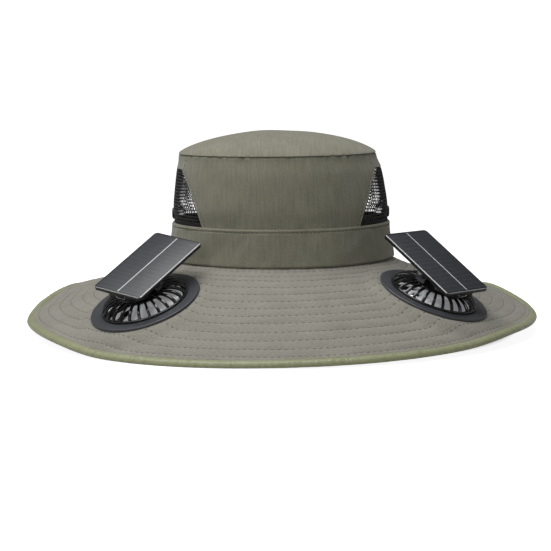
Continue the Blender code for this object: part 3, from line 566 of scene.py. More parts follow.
# %% The materials
crown_cloth = cloth_material("crown_cloth", (145, 143, 125), (121, 119, 102))
brim_cloth = cloth_material("brim_cloth", (158, 155, 144), (134, 131, 120), crease=0.4,
                            streak=(1100.0, 700.0, 1.0))
thread = cloth_material("stitch_thread", (100, 98, 84), (86, 84, 71), rough=0.7)
# Dark thread for the binding's seam: real stitches whose dark colour and close row also paint the
# shadow line inside the binding.
edge_thread_and_shadow = cloth_material("edge_thread_and_shadow", (72, 74, 50), (60, 62, 42), rough=0.7)
strip_cloth = cloth_material("net_strip", (26, 26, 27), (20, 20, 21), sheen=0.0)
net_yarn = plastic_material("net_yarn", (52, 52, 53), 0.5, grain=2500.0)
flange_plastic = plastic_material("flange_plastic", (72, 74, 79), 0.34)
guard_plastic = plastic_material("guard_plastic", (17, 17, 19), 0.16, strength=0.03,
                                 Coat_Weight=0.6, Coat_Roughness=0.06)
# Light grey plastic with a faint glow: painted light that brightens the blades lying in the shade
# of the guard and panel.
glowing_impeller_plastic = plastic_material(
    "glowing_impeller_plastic", (232, 233, 234), 0.4, strength=0.05,
    Emission_Color=colour(228, 229, 232), Emission_Strength=0.16)
tray_plastic = plastic_material("tray_plastic", (22, 22, 24), 0.32)
steel = plastic_material("bright_steel", (196, 197, 200), 0.24, grain=1600.0, strength=0.05,
                         Metallic=1.0)

satin, graph, shader = new_material("binding_satin", Roughness=0.42, Sheen_Weight=0.3,
                                    Sheen_Roughness=0.35)
slanted = graph.get("ShaderNodeMapping", {
    "Vector": graph.place("UV"), "Scale": (330.0, 60.0, 1.0), "Rotation": (0.0, 0.0, 0.35)})
# The gathers set both the bump and the colour: their ridges are painted lighter and their hollows
# darker, a painted sheen and shade on one satin.
gather = graph.noise(slanted, 1.0, 3.0)
graph.feed(shader.inputs["Base Color"], graph.blend(
    gather, colour(138, 142, 106), colour(172, 175, 138)))
bumped(graph, shader, gather, 0.8, 0.0012)

cell_face, graph, shader = new_material("solar_face", Roughness=0.5, Coat_Weight=0.5,
                                        Coat_Roughness=0.38)
place = graph.place("UV")
spot = graph.add("ShaderNodeSeparateXYZ", {"Vector": place}).outputs
across, along = graph.math("ABSOLUTE", spot[0]), spot[1]
busbar = graph.math("LESS_THAN", across, 0.00042)
fingers = graph.math("GREATER_THAN", graph.math(
    "SINE", graph.times(along, tau / 0.0048)), 0.985)
inside = graph.times(graph.math("LESS_THAN", across, 0.0206),
                     graph.math("LESS_THAN", graph.math("ABSOLUTE", along), 0.0363))
# Painted highlight: a thin near-white line along one long edge of the cells and, at half strength,
# along one end, where the clear edge catches the light.
edge = graph.math("MAXIMUM", graph.math("GREATER_THAN", spot[0], 0.0215), graph.times(
    graph.math("GREATER_THAN", along, 0.0375), 0.5))
crystal = graph.add("ShaderNodeTexVoronoi", {"Vector": place, "Scale": 240.0}).outputs["Distance"]
layers = graph.blend(crystal, colour(36, 39, 45), colour(45, 48, 54))
# The fingers and busbar are printed metal; the last, near-white layer is the painted edge
# highlight.
for mask, paint in ((graph.times(fingers, 0.35), colour(120, 122, 126)),
                    (busbar, colour(222, 223, 222)),
                    (graph.math("SUBTRACT", 1.0, inside), colour(14, 14, 16)),
                    (edge, colour(226, 229, 232))):
    layers = graph.blend(mask, layers, paint)
graph.feed(shader.inputs["Base Color"], layers)
bumped(graph, shader, crystal, 0.05, 0.0002)
print("materials", len(bpy.data.materials))


# %% [markdown]
# Stitches are placed from rows of points on the cloth. Each point carries the way the thread runs
# and the way the cloth faces, and the stitch tree lays one small thread bead there.

# %% Stitch rows
def sew(name, rows, stitch, material):
    """Stitches from rows of (points, normals); the thread runs along each row."""
    lines, normals = zip(*rows)
    points = np.concatenate(lines)
    source = bpy.data.meshes.new(name + "_points")
    source.from_pydata([tuple(point) for point in points], [], [])
    ways = [unit(np.gradient(line, axis=0)) for line in lines]
    for label, values in (("along", ways), ("up", normals)):
        source.attributes.new(label, "FLOAT_VECTOR", "POINT").data.foreach_set(
            "vector", np.concatenate(values).astype(np.float32).ravel())
    _, length, width = stitch
    piece = bake(name, stitch_tree, source, {"Length": length, "Width": width, "Thread": material})
    declare(piece, "hat", "olive_cloth")
    print(name, len(points), "stitches")


def spaced(line, normal, stitch):
    """The line and its normals sampled at even steps of about the stitch's pitch."""
    pitch = stitch[0]
    run = np.concatenate([[0.0], np.linalg.norm(np.diff(line, axis=0), axis=-1).cumsum()])
    places = np.linspace(0.0, run[-1], max(3, int(run[-1] / pitch)), endpoint=False) + pitch / 2.0
    return [np.stack([np.interp(places, run, values[:, i]) for i in range(3)], -1)
            for values in (line, normal)]


def level_normals(line):
    """Unit normals of a line on the crown's wall, with no rise."""
    return unit(line * np.array([1.0, 1.0, 0.0]))


# %% [markdown]
# The brim is a quilted sheet about 2 mm thick. Rows of stitching run round it some 9 mm apart, and
# the cloth puffs up between them and gathers a little along each row. The grid has its rows on the
# stitch lines. The cells under each fan's flange are left out, which opens the fan holes.

# %% Quilted brim
def eased(points):
    """Share of the cloth's relief that stays: none against a flange and all a little away."""
    return np.clip((fan_distance(points) - FLANGE_RADIUS) / FADE, 0.0, 1.0)


def slack(points, share):
    """Slow waves of the brim, none at the crown."""
    return BRIM_SLACK * ripple(points, 8, 0.07) * np.clip(share * 3.0, 0.0, 1.0)


COLUMNS, ROW_REACH = 360, 0.009
azimuths = 180.0 + np.arange(COLUMNS) * 360.0 / COLUMNS
edge_share = 1.0 - (BINDING_WIDTH * 0.8) / (BRIM_HALF_WIDTH - CROWN_HALF_WIDTH)
stops = (-0.018,) + QUILT_ROWS + (edge_share,)
shares, phases = [], []
for low, high in zip(stops[:-1], stops[1:]):
    for phase in (0.0, 0.10, 0.28, 0.5, 0.72, 0.90):
        shares.append(mix(low, high, phase))
        phases.append((phase, (high - low) * 0.116))
shares, phases = np.array(shares + [edge_share]), np.array(phases + [(1.0, ROW_REACH)])
phase, reach = phases.T
round_, out = np.meshgrid(azimuths, shares, indexing="ij")
base = brim(round_, out)
facing, calm = normals_of(base), eased(base)
puff = PUFF * np.minimum(reach / ROW_REACH, 1.0) * (4.0 * phase * (1.0 - phase)) ** 0.8
puff = puff * (1.0 + 0.3 * ripple(base, 3, 0.03)) * calm
gathers = BRIM_GATHER * ripple(base, 5, 0.011) * (0.45 + 0.55 * bell(phase - 0.5, 0.35)) * calm
soft = slack(base, out) * calm
upper = base + facing * (puff + gathers + soft - 0.0002)[..., None]
lower = base - facing * (BRIM_CLOTH + 0.35 * puff - gathers - soft)[..., None]
middle = brim(round_ + 0.5, out + 0.004)
brim_piece = sheet("brim_quilt", upper, lower, brim_cloth,
                   keep=fan_distance(middle[:, :-1]) > FAN_HOLE)
declare(brim_piece, "hat", "olive_cloth", "brim")
print("brim", len(brim_piece.data.polygons), "faces")

# %% Brim stitches
lines = []
fine = np.linspace(-180.0, 180.0, 721)
for share in QUILT_ROWS:
    spot = np.stack([brim(fine, np.full(721, share + d)) for d in (-0.004, 0.0, 0.004)], axis=1)
    line, normal = spaced(spot[:, 1], normals_of(spot, closed=False)[:, 1], QUILT_STITCH)
    clear = (fan_distance(line) > FLANGE_RADIUS).astype(int)
    starts = np.flatnonzero(np.diff(np.concatenate([[0], clear, [0]])) != 0)
    for first, last in zip(starts[::2], starts[1::2]):
        if last - first > 2:
            part, facing = line[first:last], normal[first:last]
            lift = 0.00012 * ripple(part, 5, 0.011) + slack(part, share)
            lines.append((part + facing * (lift * eased(part) - 0.0002)[:, None], facing))
sew("brim_stitches", lines, QUILT_STITCH, thread)

# %% [markdown]
# The edge of the brim is bound with a strip of lighter satin, sewn down by a narrow lip and rolled
# over a soft core. The section is a short list of points, and small slanting gathers change its
# thickness as it runs round.

# %% Satin binding
# across and up, as shares of the binding's width and thickness; the sixth point is the seam
SECTION = (
    (-0.50, 0.02), (-0.49, 0.12), (-0.475, 0.18), (-0.455, 0.17), (-0.435, 0.10), (-0.415, 0.03),
    (-0.39, 0.16), (-0.34, 0.29), (-0.25, 0.39), (-0.12, 0.46), (0.03, 0.50), (0.17, 0.49),
    (0.30, 0.42), (0.42, 0.26), (0.49, 0.08), (0.48, -0.14), (0.38, -0.32), (0.22, -0.43),
    (0.02, -0.47), (-0.20, -0.42), (-0.40, -0.30), (-0.49, -0.12))
ROUND, EDGE_LENGTH, SEAM_POINT = 720, 1.29, 5
azimuth = 180.0 + np.arange(ROUND) * 360.0 / ROUND
inner_share = 1.0 - BINDING_WIDTH / 2.0 / (BRIM_HALF_WIDTH - CROWN_HALF_WIDTH)
strip = np.stack([brim(azimuth, np.full(ROUND, inner_share + d)) for d in (-0.01, 0.0, 0.01)], 1)
up = normals_of(strip)[:, 1]
outward = unit(strip[:, 2] - strip[:, 0])
roll = []
for wide, high in SECTION:
    twist = azimuth + wide * 2.2
    swell = 0.055 * puckers(twist, 11, 150, 330) + 0.04 * puckers(twist, 12, 30, 70)
    swell = 1.0 + swell * (1.0 if high > 0.0 else 0.4)
    centre = strip[:, 1] - up * BRIM_CLOTH / 2.0
    roll.append(centre + outward * (wide * BINDING_WIDTH) +
                up * (high * BINDING_THICK * swell)[:, None])
points, faces = loft(roll, joined=True)
girth = np.arange(len(SECTION))[:, None] * 0.0011
place = np.stack(np.broadcast_arrays(np.arange(ROUND) / ROUND * EDGE_LENGTH, girth), -1)
corners = np.array(faces)
loops = place.reshape(-1, 2)[corners.ravel()]
wrap = (corners.ravel() % ROUND == 0) & np.repeat((corners % ROUND == ROUND - 1).any(1), 4)
loops[wrap, 0] += EDGE_LENGTH
binding = place_mesh("satin_binding", (points, faces), satin, loops=loops, smooth=60.0)
declare(binding, "hat", "edge_satin", "edge_binding")
# The seam row along the binding's lip: its dark, close stitches also paint the shade line where the
# brim meets the binding.
seam = roll[SEAM_POINT] + up * 0.0001
row = spaced(np.vstack([seam, seam[:1]]), np.vstack([up, up[:1]]), EDGE_STITCH)
sew("binding_stitches", [row], EDGE_STITCH, edge_thread_and_shadow)
print("binding", len(binding.data.polygons), "faces")


# %% [markdown]
# The crown's wall is two pieces of cloth, front and back. At each height a piece runs as far as the
# slanting edge of the net windows; above and below the windows it goes on to the middle of the
# side. The cloth is gathered a little under the top seam, and the cut edges are turned in and
# topstitched.

# %% Rules of the windows and the wall
def half_depth(share):
    """Half depth of the crown at a share of its height."""
    return CROWN_HALF_DEPTH * table_value(CROWN_SECTIONS, share, 1)


def window_half(height):
    """Half depth of the window at a height above the foot; from the front its edge is straight."""
    share = 1.0 - np.asarray(height) / CROWN_HEIGHT
    width = CROWN_HALF_WIDTH * table_value(CROWN_SECTIONS, share, 1)
    reach = mix(WINDOW_FOOT_REACH, WINDOW_HEAD_REACH, (height - BAND_HEIGHT) / WINDOW_HEIGHT)
    return half_depth(share) * np.sqrt(1.0 - (reach / width) ** 2)


def side_azimuth(behind, share):
    """Azimuth on the right side of the crown of a point this far behind its middle."""
    return np.degrees(np.arccos(-behind / half_depth(share)))


def edge_azimuth(share):
    """Azimuth of the window's front edge at a height."""
    height = np.clip(CROWN_HEIGHT * (1.0 - share), BAND_HEIGHT, BAND_HEIGHT + WINDOW_HEIGHT)
    return 180.0 - side_azimuth(window_half(height), share)


def wall_offset(azimuth, share, hem):
    """How far the cloth stands off the plain wall."""
    down = share * CROWN_HEIGHT
    plain = crown(azimuth, share)
    gathers = SEAM_GATHER * puckers(azimuth, 21, 34, 86) * np.exp(-down / 0.006)
    waves = WALL_SLACK * ripple(plain, 23, 0.055) * np.clip(down / 0.02, 0.0, 1.0)
    small = 0.00010 * ripple(plain, 24, 0.016)
    turned_in = HEM_RISE * bell(hem - 0.0011, 0.0010) * (hem < 0.02)
    return -SEAM_TUCK * bell(down, 0.0008) + gathers + waves + small + turned_in


# %% Crown walls
HEAD_SHARE = 1.0 - (BAND_HEIGHT + WINDOW_HEIGHT) / CROWN_HEIGHT
FOOT_SHARE, LAST_SHARE, HALF_TURN = 1.0 - BAND_HEIGHT / CROWN_HEIGHT, 0.996, pi / 2.0 * 0.86
WALLS = {"front": (0.0, 1.0), "back": (180.0, -1.0)}
foot_rows = np.linspace(FOOT_SHARE, LAST_SHARE, 5)
down_shares = np.concatenate([np.linspace(0.0, 0.05, 7)[:-1],
                              np.linspace(0.05, FOOT_SHARE, 36)[:-1], foot_rows])
sides = np.sin(np.linspace(-1.0, 1.0, 121) * HALF_TURN) / sin(HALF_TURN)
for face_name, (middle, flip) in WALLS.items():
    work = bmesh.new()
    uv = work.loops.layers.uv.new("UVMap")
    patches = [(down_shares, lambda s, t: t * edge_azimuth(s), sides)]
    for hand in (-1.0, 1.0):
        for rows in (np.linspace(0.0, HEAD_SHARE, 12), foot_rows):
            patches.append((rows, lambda s, t, hand=hand: hand * mix(edge_azimuth(s), 90.0, t),
                            np.linspace(0.0, 1.0, 25)))
    for rows, rule, spans in patches:
        t, s = np.meshgrid(spans, rows, indexing="ij")
        turn = rule(s, t)
        height = CROWN_HEIGHT * (1.0 - s)
        in_window = (height > BAND_HEIGHT) & (height < BAND_HEIGHT + WINDOW_HEIGHT)
        hem = np.radians(np.abs(edge_azimuth(s) - np.abs(turn))) * CROWN_HALF_DEPTH
        azimuth = middle + flip * turn
        stand = wall_offset(azimuth, s, np.where(in_window, hem, 1.0))
        for layer in (stand, stand - CROWN_CLOTH):
            grid = crown(azimuth, s, layer)
            knots = {spot: work.verts.new(grid[spot]) for spot in np.ndindex(s.shape)}
            for c, r in np.ndindex(s.shape[0] - 1, s.shape[1] - 1):
                cell = [(c, r), (c, r + 1), (c + 1, r + 1), (c + 1, r)]
                for loop, spot in zip(work.faces.new([knots[spot] for spot in cell]).loops, cell):
                    loop[uv].uv = (radians(azimuth[spot]) * 0.09, s[spot] * CROWN_HEIGHT)
    bmesh.ops.remove_doubles(work, verts=work.verts[:], dist=0.00002)
    bmesh.ops.bridge_loops(work, edges=[edge for edge in work.edges if len(edge.link_faces) == 1])
    wall = close_mesh("crown_%s_cloth" % face_name, work, crown_cloth, 50.0)
    declare(wall, "hat", "olive_cloth", "crown_%s_panel" % face_name)
    print(wall.name, len(wall.data.polygons), "faces")

# %% Topstitch along the windows
lines = []
s = np.linspace(HEAD_SHARE - 0.10, FOOT_SHARE, 60)
for middle, flip in WALLS.values():
    for hand in (-1.0, 1.0):
        turn = edge_azimuth(s) - degrees(SEAM_ALLOWANCE / CROWN_HALF_DEPTH) * 1.6
        turn = middle + flip * hand * turn
        line = crown(turn, s, wall_offset(turn, s, np.full(60, SEAM_ALLOWANCE)))
        lines.append(spaced(line, level_normals(line), TOP_STITCH))
sew("window_topstitch", lines, TOP_STITCH, thread)

# %% [markdown]
# The dome is one piece of cloth, sewn to the wall with the seam turned in. It is fullest near the
# seam and gathered there. Its pole is closed with a small face above and below, and its weave runs
# straight from front to back.

# %% Crown top
UP = np.array([0.0, 0.0, 1.0])
reach = np.concatenate([np.linspace(0.02, 0.86, 26), np.linspace(0.88, 1.0, 16)])
round_, out = np.meshgrid(180.0 + np.arange(240) * 1.5, reach, indexing="ij")
pole = np.array([CROWN_LEAN, 0.0, FOOT + CROWN_HEIGHT])
swell = np.maximum(1.0 - out ** 2, 0.0) ** DOME_POWER
upper, lower = (pole + (crown(round_, 0.0, offset) - pole) * out[..., None]
                for offset in (0.0002, -CROWN_CLOTH))
rise = GAP + DOME_HEIGHT * swell + 0.0003 * ripple(upper, 31, 0.05) * swell
rise = rise + 0.0005 * puckers(round_, 21, 34, 86) * np.exp(-(1.0 - out) / 0.06) * (out < 0.999)
upper = upper + UP * rise[..., None]
lower = lower + UP * (rise - CROWN_CLOTH * np.clip(swell * 3, 0.1, 1))[..., None]
dome = sheet("crown_dome", upper, lower, crown_cloth)
work = bmesh.new()
work.from_mesh(dome.data)
small = [face for face in work.faces
         if all((vert.co.xy - Vector(pole[:2])).length < 0.0019 for vert in face.verts)]
bmesh.ops.delete(work, geom=small, context="FACES")
bmesh.ops.holes_fill(work, edges=[edge for edge in work.edges if edge.is_boundary], sides=0)
bmesh.ops.recalc_face_normals(work, faces=work.faces[:])
uv = work.loops.layers.uv.active
for face in work.faces:
    for loop in face.loops:
        loop[uv].uv = loop.vert.co.xy
work.to_mesh(dome.data)
work.free()
declare(dome, "hat", "olive_cloth", "crown_top")
print("dome", len(dome.data.polygons), "faces")

# %% [markdown]
# The band is a folded strip of the same cloth round the foot of the crown. A stitched fold runs
# along its top, and its foot presses on the brim.

# %% Hat band
round_, height = np.meshgrid(180.0 + np.arange(300) * 1.2, np.concatenate([
    np.linspace(BAND_HEIGHT, BAND_HEIGHT - 0.005, 9)[:-1],
    np.linspace(BAND_HEIGHT - 0.005, 0.003, 12)[:-1], np.linspace(0.003, 0.0003, 8)]),
    indexing="ij")
share, below = 1.0 - height / CROWN_HEIGHT, BAND_HEIGHT - height
plain = crown(round_, share)
stand = GAP + BAND_CLOTH + 0.00035 * ripple(plain, 41, 0.03) + 0.0002 * ripple(plain, 42, 0.012)
# rounded top, sewn fold, spread foot and turned-in lower edge: depth, place and width
for depth, place, width in ((-0.0009, below, 0.0006), (-0.0005, below - BAND_FOLD, 0.0005),
                            (0.0004, height, 0.004), (-0.0013, height, 0.0009)):
    stand = stand + depth * bell(place, width)
band = sheet("hat_band_cloth", crown(round_, share, stand), crown(round_, share, GAP * 0.5),
             crown_cloth)
declare(band, "hat", "olive_cloth", "hat_band")
level = np.full(361, 1.0 - (BAND_HEIGHT - BAND_FOLD) / CROWN_HEIGHT)
line = crown(np.linspace(-180.0, 180.0, 361), level, GAP + BAND_CLOTH - 0.0003)
sew("band_stitches", [spaced(line, level_normals(line), TOP_STITCH)], TOP_STITCH, thread)
print("band", len(band.data.polygons), "faces")

# %% [markdown]
# Each side window holds black knitted net with rows of small staggered holes. The script lays out
# where the strands cross on the crown's surface, and the net tree turns the lines into round
# strands. A plain black strip is sewn along the net's foot, and a press stud sits on it.

# %% Net windows
for hand, side in HANDS.items():
    name = "net_" + hand
    knots, wires = {}, []
    for row in range(int(WINDOW_HEIGHT / NET_PITCH) + 2):
        level = BAND_HEIGHT + row * NET_PITCH
        count = int((float(window_half(level)) + 0.0012) / NET_STEP * 2.0)
        for column in range(-count, count + 1):
            height = level + NET_PITCH * (0.16 if (row + column) % 2 == 0 else -0.16)
            share = 1.0 - height / CROWN_HEIGHT
            turn = side * side_azimuth(column * NET_STEP / 2.0, share)
            knots[row, column] = len(knots), crown(turn, share, -0.0005)
    for (row, column), (here, _) in knots.items():
        near = [(row, column + 1)] + ([(row + 1, column)] if (row + column) % 2 == 0 else [])
        wires += [(here, knots[spot][0]) for spot in near if spot in knots]
    source = bpy.data.meshes.new(name + "_lines")
    source.from_pydata([tuple(point) for _, point in knots.values()], wires, [])
    net = bake(name, net_tree, source, {"Radius": NET_STRAND, "Yarn": net_yarn})
    declare(net, "hat", "black_net", "side_net_" + hand)
    t, height = np.meshgrid(np.linspace(-1.0, 1.0, 60), np.linspace(
        BAND_HEIGHT - 0.002, BAND_HEIGHT + 0.0026, 5)[::-1], indexing="ij")
    share = 1.0 - height / CROWN_HEIGHT
    turn = side * side_azimuth(t * (window_half(height) + 0.001), share)
    strip = sheet(name + "_strip", crown(turn, share, 0.0001), crown(turn, share, -0.0009),
                  strip_cloth, closed=False)
    declare(strip, "hat", "black_net")
    print(name, len(wires), "strands,", len(net.data.polygons), "faces")

# %% Press studs
GREY, GLOSS = (flange_plastic, "satin_grey_plastic"), (guard_plastic, "gloss_black_plastic")
LIGHT, BLACK, BRIGHT = ((glowing_impeller_plastic, "light_grey_plastic"), (tray_plastic, "black_plastic"),
                        (steel, "steel"))
for hand, side in HANDS.items():
    name = "side_snap_" + hand
    low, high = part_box(name)
    foot = Vector(((low.x if side > 0 else high.x), 0.0, (low.z + high.z) / 2.0))
    tall = high.x - low.x
    profile = ((0.0001, 0.0), (0.0045, 0.0), (0.0045, tall - 0.0006), (0.0032, tall),
               (0.0024, tall - 0.0003), (0.0001, tall - 0.0005))
    moulding(name + "_cap", turned(profile, 0.0003, 40), BLACK,
             Matrix.Translation(foot) @ Matrix.Rotation(side * pi / 2.0, 4, "Y"), "hat", name)
    print(name, "stands", round(tall * 1000.0, 2), "mm off the net")

# %% [markdown]
# Each fan unit is built about its own seat: Z out of the brim and Y down its fall. The seat's
# centre and axis come from the frame's spin joint. The fork's frame rolls the panel towards the
# front, and the hinge tilts it about the pin.

# %% Frames of the fan units
UNITS = {}
for side, (azimuth, heading, roll, tilt, inward) in FAN_UNITS.items():
    centre, normal = SEATS[side]
    out = Vector((sin(radians(azimuth)), -cos(radians(azimuth)), 0.0))
    out = (out - normal * out.dot(normal)).normalized()
    seat = Matrix((out.cross(normal), out, normal)).transposed().to_4x4()
    seat = Matrix.Translation(centre) @ seat @ Matrix.Rotation(radians(heading), 4, "Z")
    fork = seat @ Matrix.Translation((0.0, -PIN_SETBACK, PIN_HEIGHT))
    fork = fork @ Matrix.Rotation(radians(roll), 4, "Y")
    hinge = fork @ Matrix.Rotation(radians(tilt), 4, "X")
    miss = (hinge.translation - Vector(joints[side + "_panel_tilt"]["pos_m"])).length
    UNITS[side] = seat, fork, hinge, inward, radians(-roll)
    print(side, "pin is", round(miss * 1000.0, 3), "mm from the frame's joint")

# %% [markdown]
# The flange is a satin grey moulding pressed on the brim, with a throat that goes down through it.
# The gloss black guard clips inside it: a rim, a hub and 26 arched ribs. The ribs are one swept
# shape that the rib tree repeats round the hub.


# %% Flanges and guards
def swept(path, widths, thick):
    """Strip along a path of (radius, height) points, with a rounded section."""
    rings = []
    for (radius, height), way, width in zip(path, unit(np.gradient(path, axis=0)), widths):
        rings.append([(radius - way[1] * high * thick / 2.0, across * width / 2.0,
                       height + way[0] * high * thick / 2.0) for across, high in (
            (-1, -1), (1, -1), (1, 0.2), (0.62, 0.85), (0.0, 1.0), (-0.62, 0.85), (-1, 0.2))])
    return loft(rings)


def round_hub(name, master, count, finish, body, node, matrix):
    """Copies of a master piece round Z, set on a fan's seat and declared."""
    piece = bake(name, rib_tree, master, {"Count": count, "Plastic": finish[0]})
    piece.data.transform(matrix)
    declare(piece, body, finish[1], node)
    print(name, len(piece.data.polygons), "faces")


def master(piece):
    """The piece's mesh, taken out of the scene."""
    source = piece.data
    bpy.data.objects.remove(piece)
    return source


RIB_REACH, RIB_WIDTH, RIB_THICK = (0.0172, 0.0326), (0.0017, 0.0023), 0.0019
guard_top = FLANGE_TOP + GUARD_RISE
steps = np.linspace(0.0, 1.0, 15)
arch = FLANGE_TOP + (GUARD_RISE - 0.0006) * np.maximum(1.0 - steps ** 2.3, 0.0) ** 0.6
path = np.stack([mix(*RIB_REACH, steps), arch], -1)
rib = master(place_mesh("rib_master", swept(path, mix(*RIB_WIDTH, steps), RIB_THICK),
                        guard_plastic))
# radius and height
FLANGE = ((0.0336, 0.0003), (FLANGE_RADIUS, 0.0003), (FLANGE_RADIUS, 0.0011), (0.0420, FLANGE_TOP),
          (0.0345, FLANGE_TOP), (0.0336, 0.0014), (0.0331, 0.0009), (0.0310, 0.0009),
          (0.0310, -0.0105), (0.0330, -0.0105), (0.0330, 0.0003))
GUARD_RIM = ((0.0314, 0.0010), (0.0334, 0.0010), (0.0335, 0.0028), (0.0329, 0.0033),
             (0.0314, 0.0030))
GUARD_HUB = [(radius, guard_top - down) for radius, down in (
    (0.0001, 0.0022), (0.0170, 0.0022), (0.0188, 0.0018), (0.0190, 0.0008), (0.0180, 0.0),
    (0.0152, 0.0), (0.0146, 0.0003), (0.0001, 0.0003))]
for side, (seat, *_) in UNITS.items():
    moulding(side + "_flange", turned(FLANGE, 0.0004, 120), GREY, seat, "hat",
             side + "_fan_flange")
    moulding(side + "_guard_rim", turned(GUARD_RIM, 0.0004, 120), GLOSS, seat, "hat")
    moulding(side + "_guard_hub", turned(GUARD_HUB, 0.0003, 96), GLOSS, seat, "hat")
    round_hub(side + "_guard_ribs", rib, GUARD_RIBS, GLOSS, "hat", side + "_fan_guard", seat)

# %% [markdown]
# The impeller is a light grey moulding: a domed hub and broad curved blades that overlap when seen
# from above. Its plastic also glows faintly: painted light that brightens the blades in the shade
# of the guard and the panel. The blade is one twisted sheet, repeated by the same tree. It turns
# with the rotor.

# %% Impellers
BLADE_REACH, BLADE_THICK = (0.0092, 0.0286), 0.0009
share, t = np.meshgrid(np.linspace(0.0, 1.0, 11), np.linspace(-1.0, 1.0, 9), indexing="ij")
radius = mix(*BLADE_REACH, share)
turn = np.radians(mix(23.0, 17.5, share)) * t + 0.42 * share
rise = 0.0008 + 0.0026 * t - 0.0007 * t * t - 0.0004 * share
upper = np.stack([radius * np.cos(turn), radius * np.sin(turn), rise], -1)
blade = master(sheet("blade_master", upper, upper - UP * BLADE_THICK, glowing_impeller_plastic,
                     closed=False))
IMPELLER_HUB = ((0.0013, -0.0058), (0.0100, -0.0058), (0.0100, 0.0032), (0.0088, 0.0048),
                (0.0013, 0.0053))
for side, (seat, *_) in UNITS.items():
    body = side + "_fan_rotor"
    round_hub(side + "_blades", blade, BLADES, LIGHT, body, side + "_impeller", seat)
    moulding(side + "_impeller_hub", turned(IMPELLER_HUB, 0.0006, 72), LIGHT, seat, body)

# %% [markdown]
# The fork stands on the guard's hub and holds the panel's box between two cheeks. A bright pin goes
# through both. The panel is a black tray with the two cells under clear resin, and under it a box
# with a charging socket in its outer end.


# %% Forks and pins
def block(width, length, low, high, bevel):
    """Shape of a block with rounded edges."""
    return loft(plate_rings(width, length, min(width, length) * 0.3, low, high, bevel=bevel))


PANEL_LENGTH, PANEL_WIDTH, PANEL_TOP, PANEL_THICK, PANEL_RIM = 0.0765, 0.045, 0.0066, 0.0021, 0.0012
BOX_WIDTH, BOX_LENGTH, BOX_DEPTH, BOX_HALF, CHEEK = 0.025, 0.037, 0.0063, 0.0128, 0.0026
PIN_RADIUS, PIN_HEAD = 0.0016, 0.0024
HALF = BOX_HALF + CHEEK
TIP = HALF + 0.0012
BOX_TOP = PANEL_TOP - PANEL_THICK - GAP
BAR_TOP = BOX_TOP - BOX_DEPTH - 0.0010
BAR_LOW = BAR_TOP - 0.0009
PIN = ((0.0001, -TIP), (PIN_HEAD, -TIP), (PIN_HEAD, -HALF - 0.0001), (PIN_RADIUS, -HALF),
       (PIN_RADIUS, HALF), (PIN_HEAD, HALF + 0.0001), (PIN_HEAD, TIP), (0.0001, TIP))
outline = [(-0.0031, BAR_LOW), (0.0031, BAR_LOW)]
outline += [(0.0034 * cos(turn), 0.0034 * sin(turn)) for turn in np.linspace(-0.3, pi + 0.3, 17)]
for side, (_, fork, _, _, upright) in UNITS.items():
    for hand in (-1.0, 1.0):
        cheek = loft([[(hand * x, y * grow, z * grow) for y, z in outline] for x, grow in (
            (BOX_HALF, 0.93), (BOX_HALF + 0.0004, 1.0), (HALF - 0.0004, 1.0), (HALF, 0.93))])
        moulding("%s_fork_cheek_%d" % (side, hand > 0), cheek, GREY, fork, "hat",
                 side + "_panel_bracket")
    moulding(side + "_fork_bar", block(2.0 * HALF, 0.0062, BAR_LOW, BAR_TOP, 0.0002), GREY, fork,
             "hat")
    foot = block(0.010, 0.005, guard_top + 0.0002 - PIN_HEIGHT, BAR_LOW + 0.0004, 0.0002)
    moulding(side + "_fork_foot", foot, GREY, fork @ Matrix.Rotation(upright, 4, "Y"), "hat")
    moulding(side + "_pin", turned(PIN, 0.0004, 32), BRIGHT,
             fork @ Matrix.Rotation(pi / 2.0, 4, "Y"), "hat", side + "_hinge_pin")
print("pins", round(2000.0 * TIP, 1), "mm long")

# %% Panels
low = PANEL_TOP - PANEL_THICK
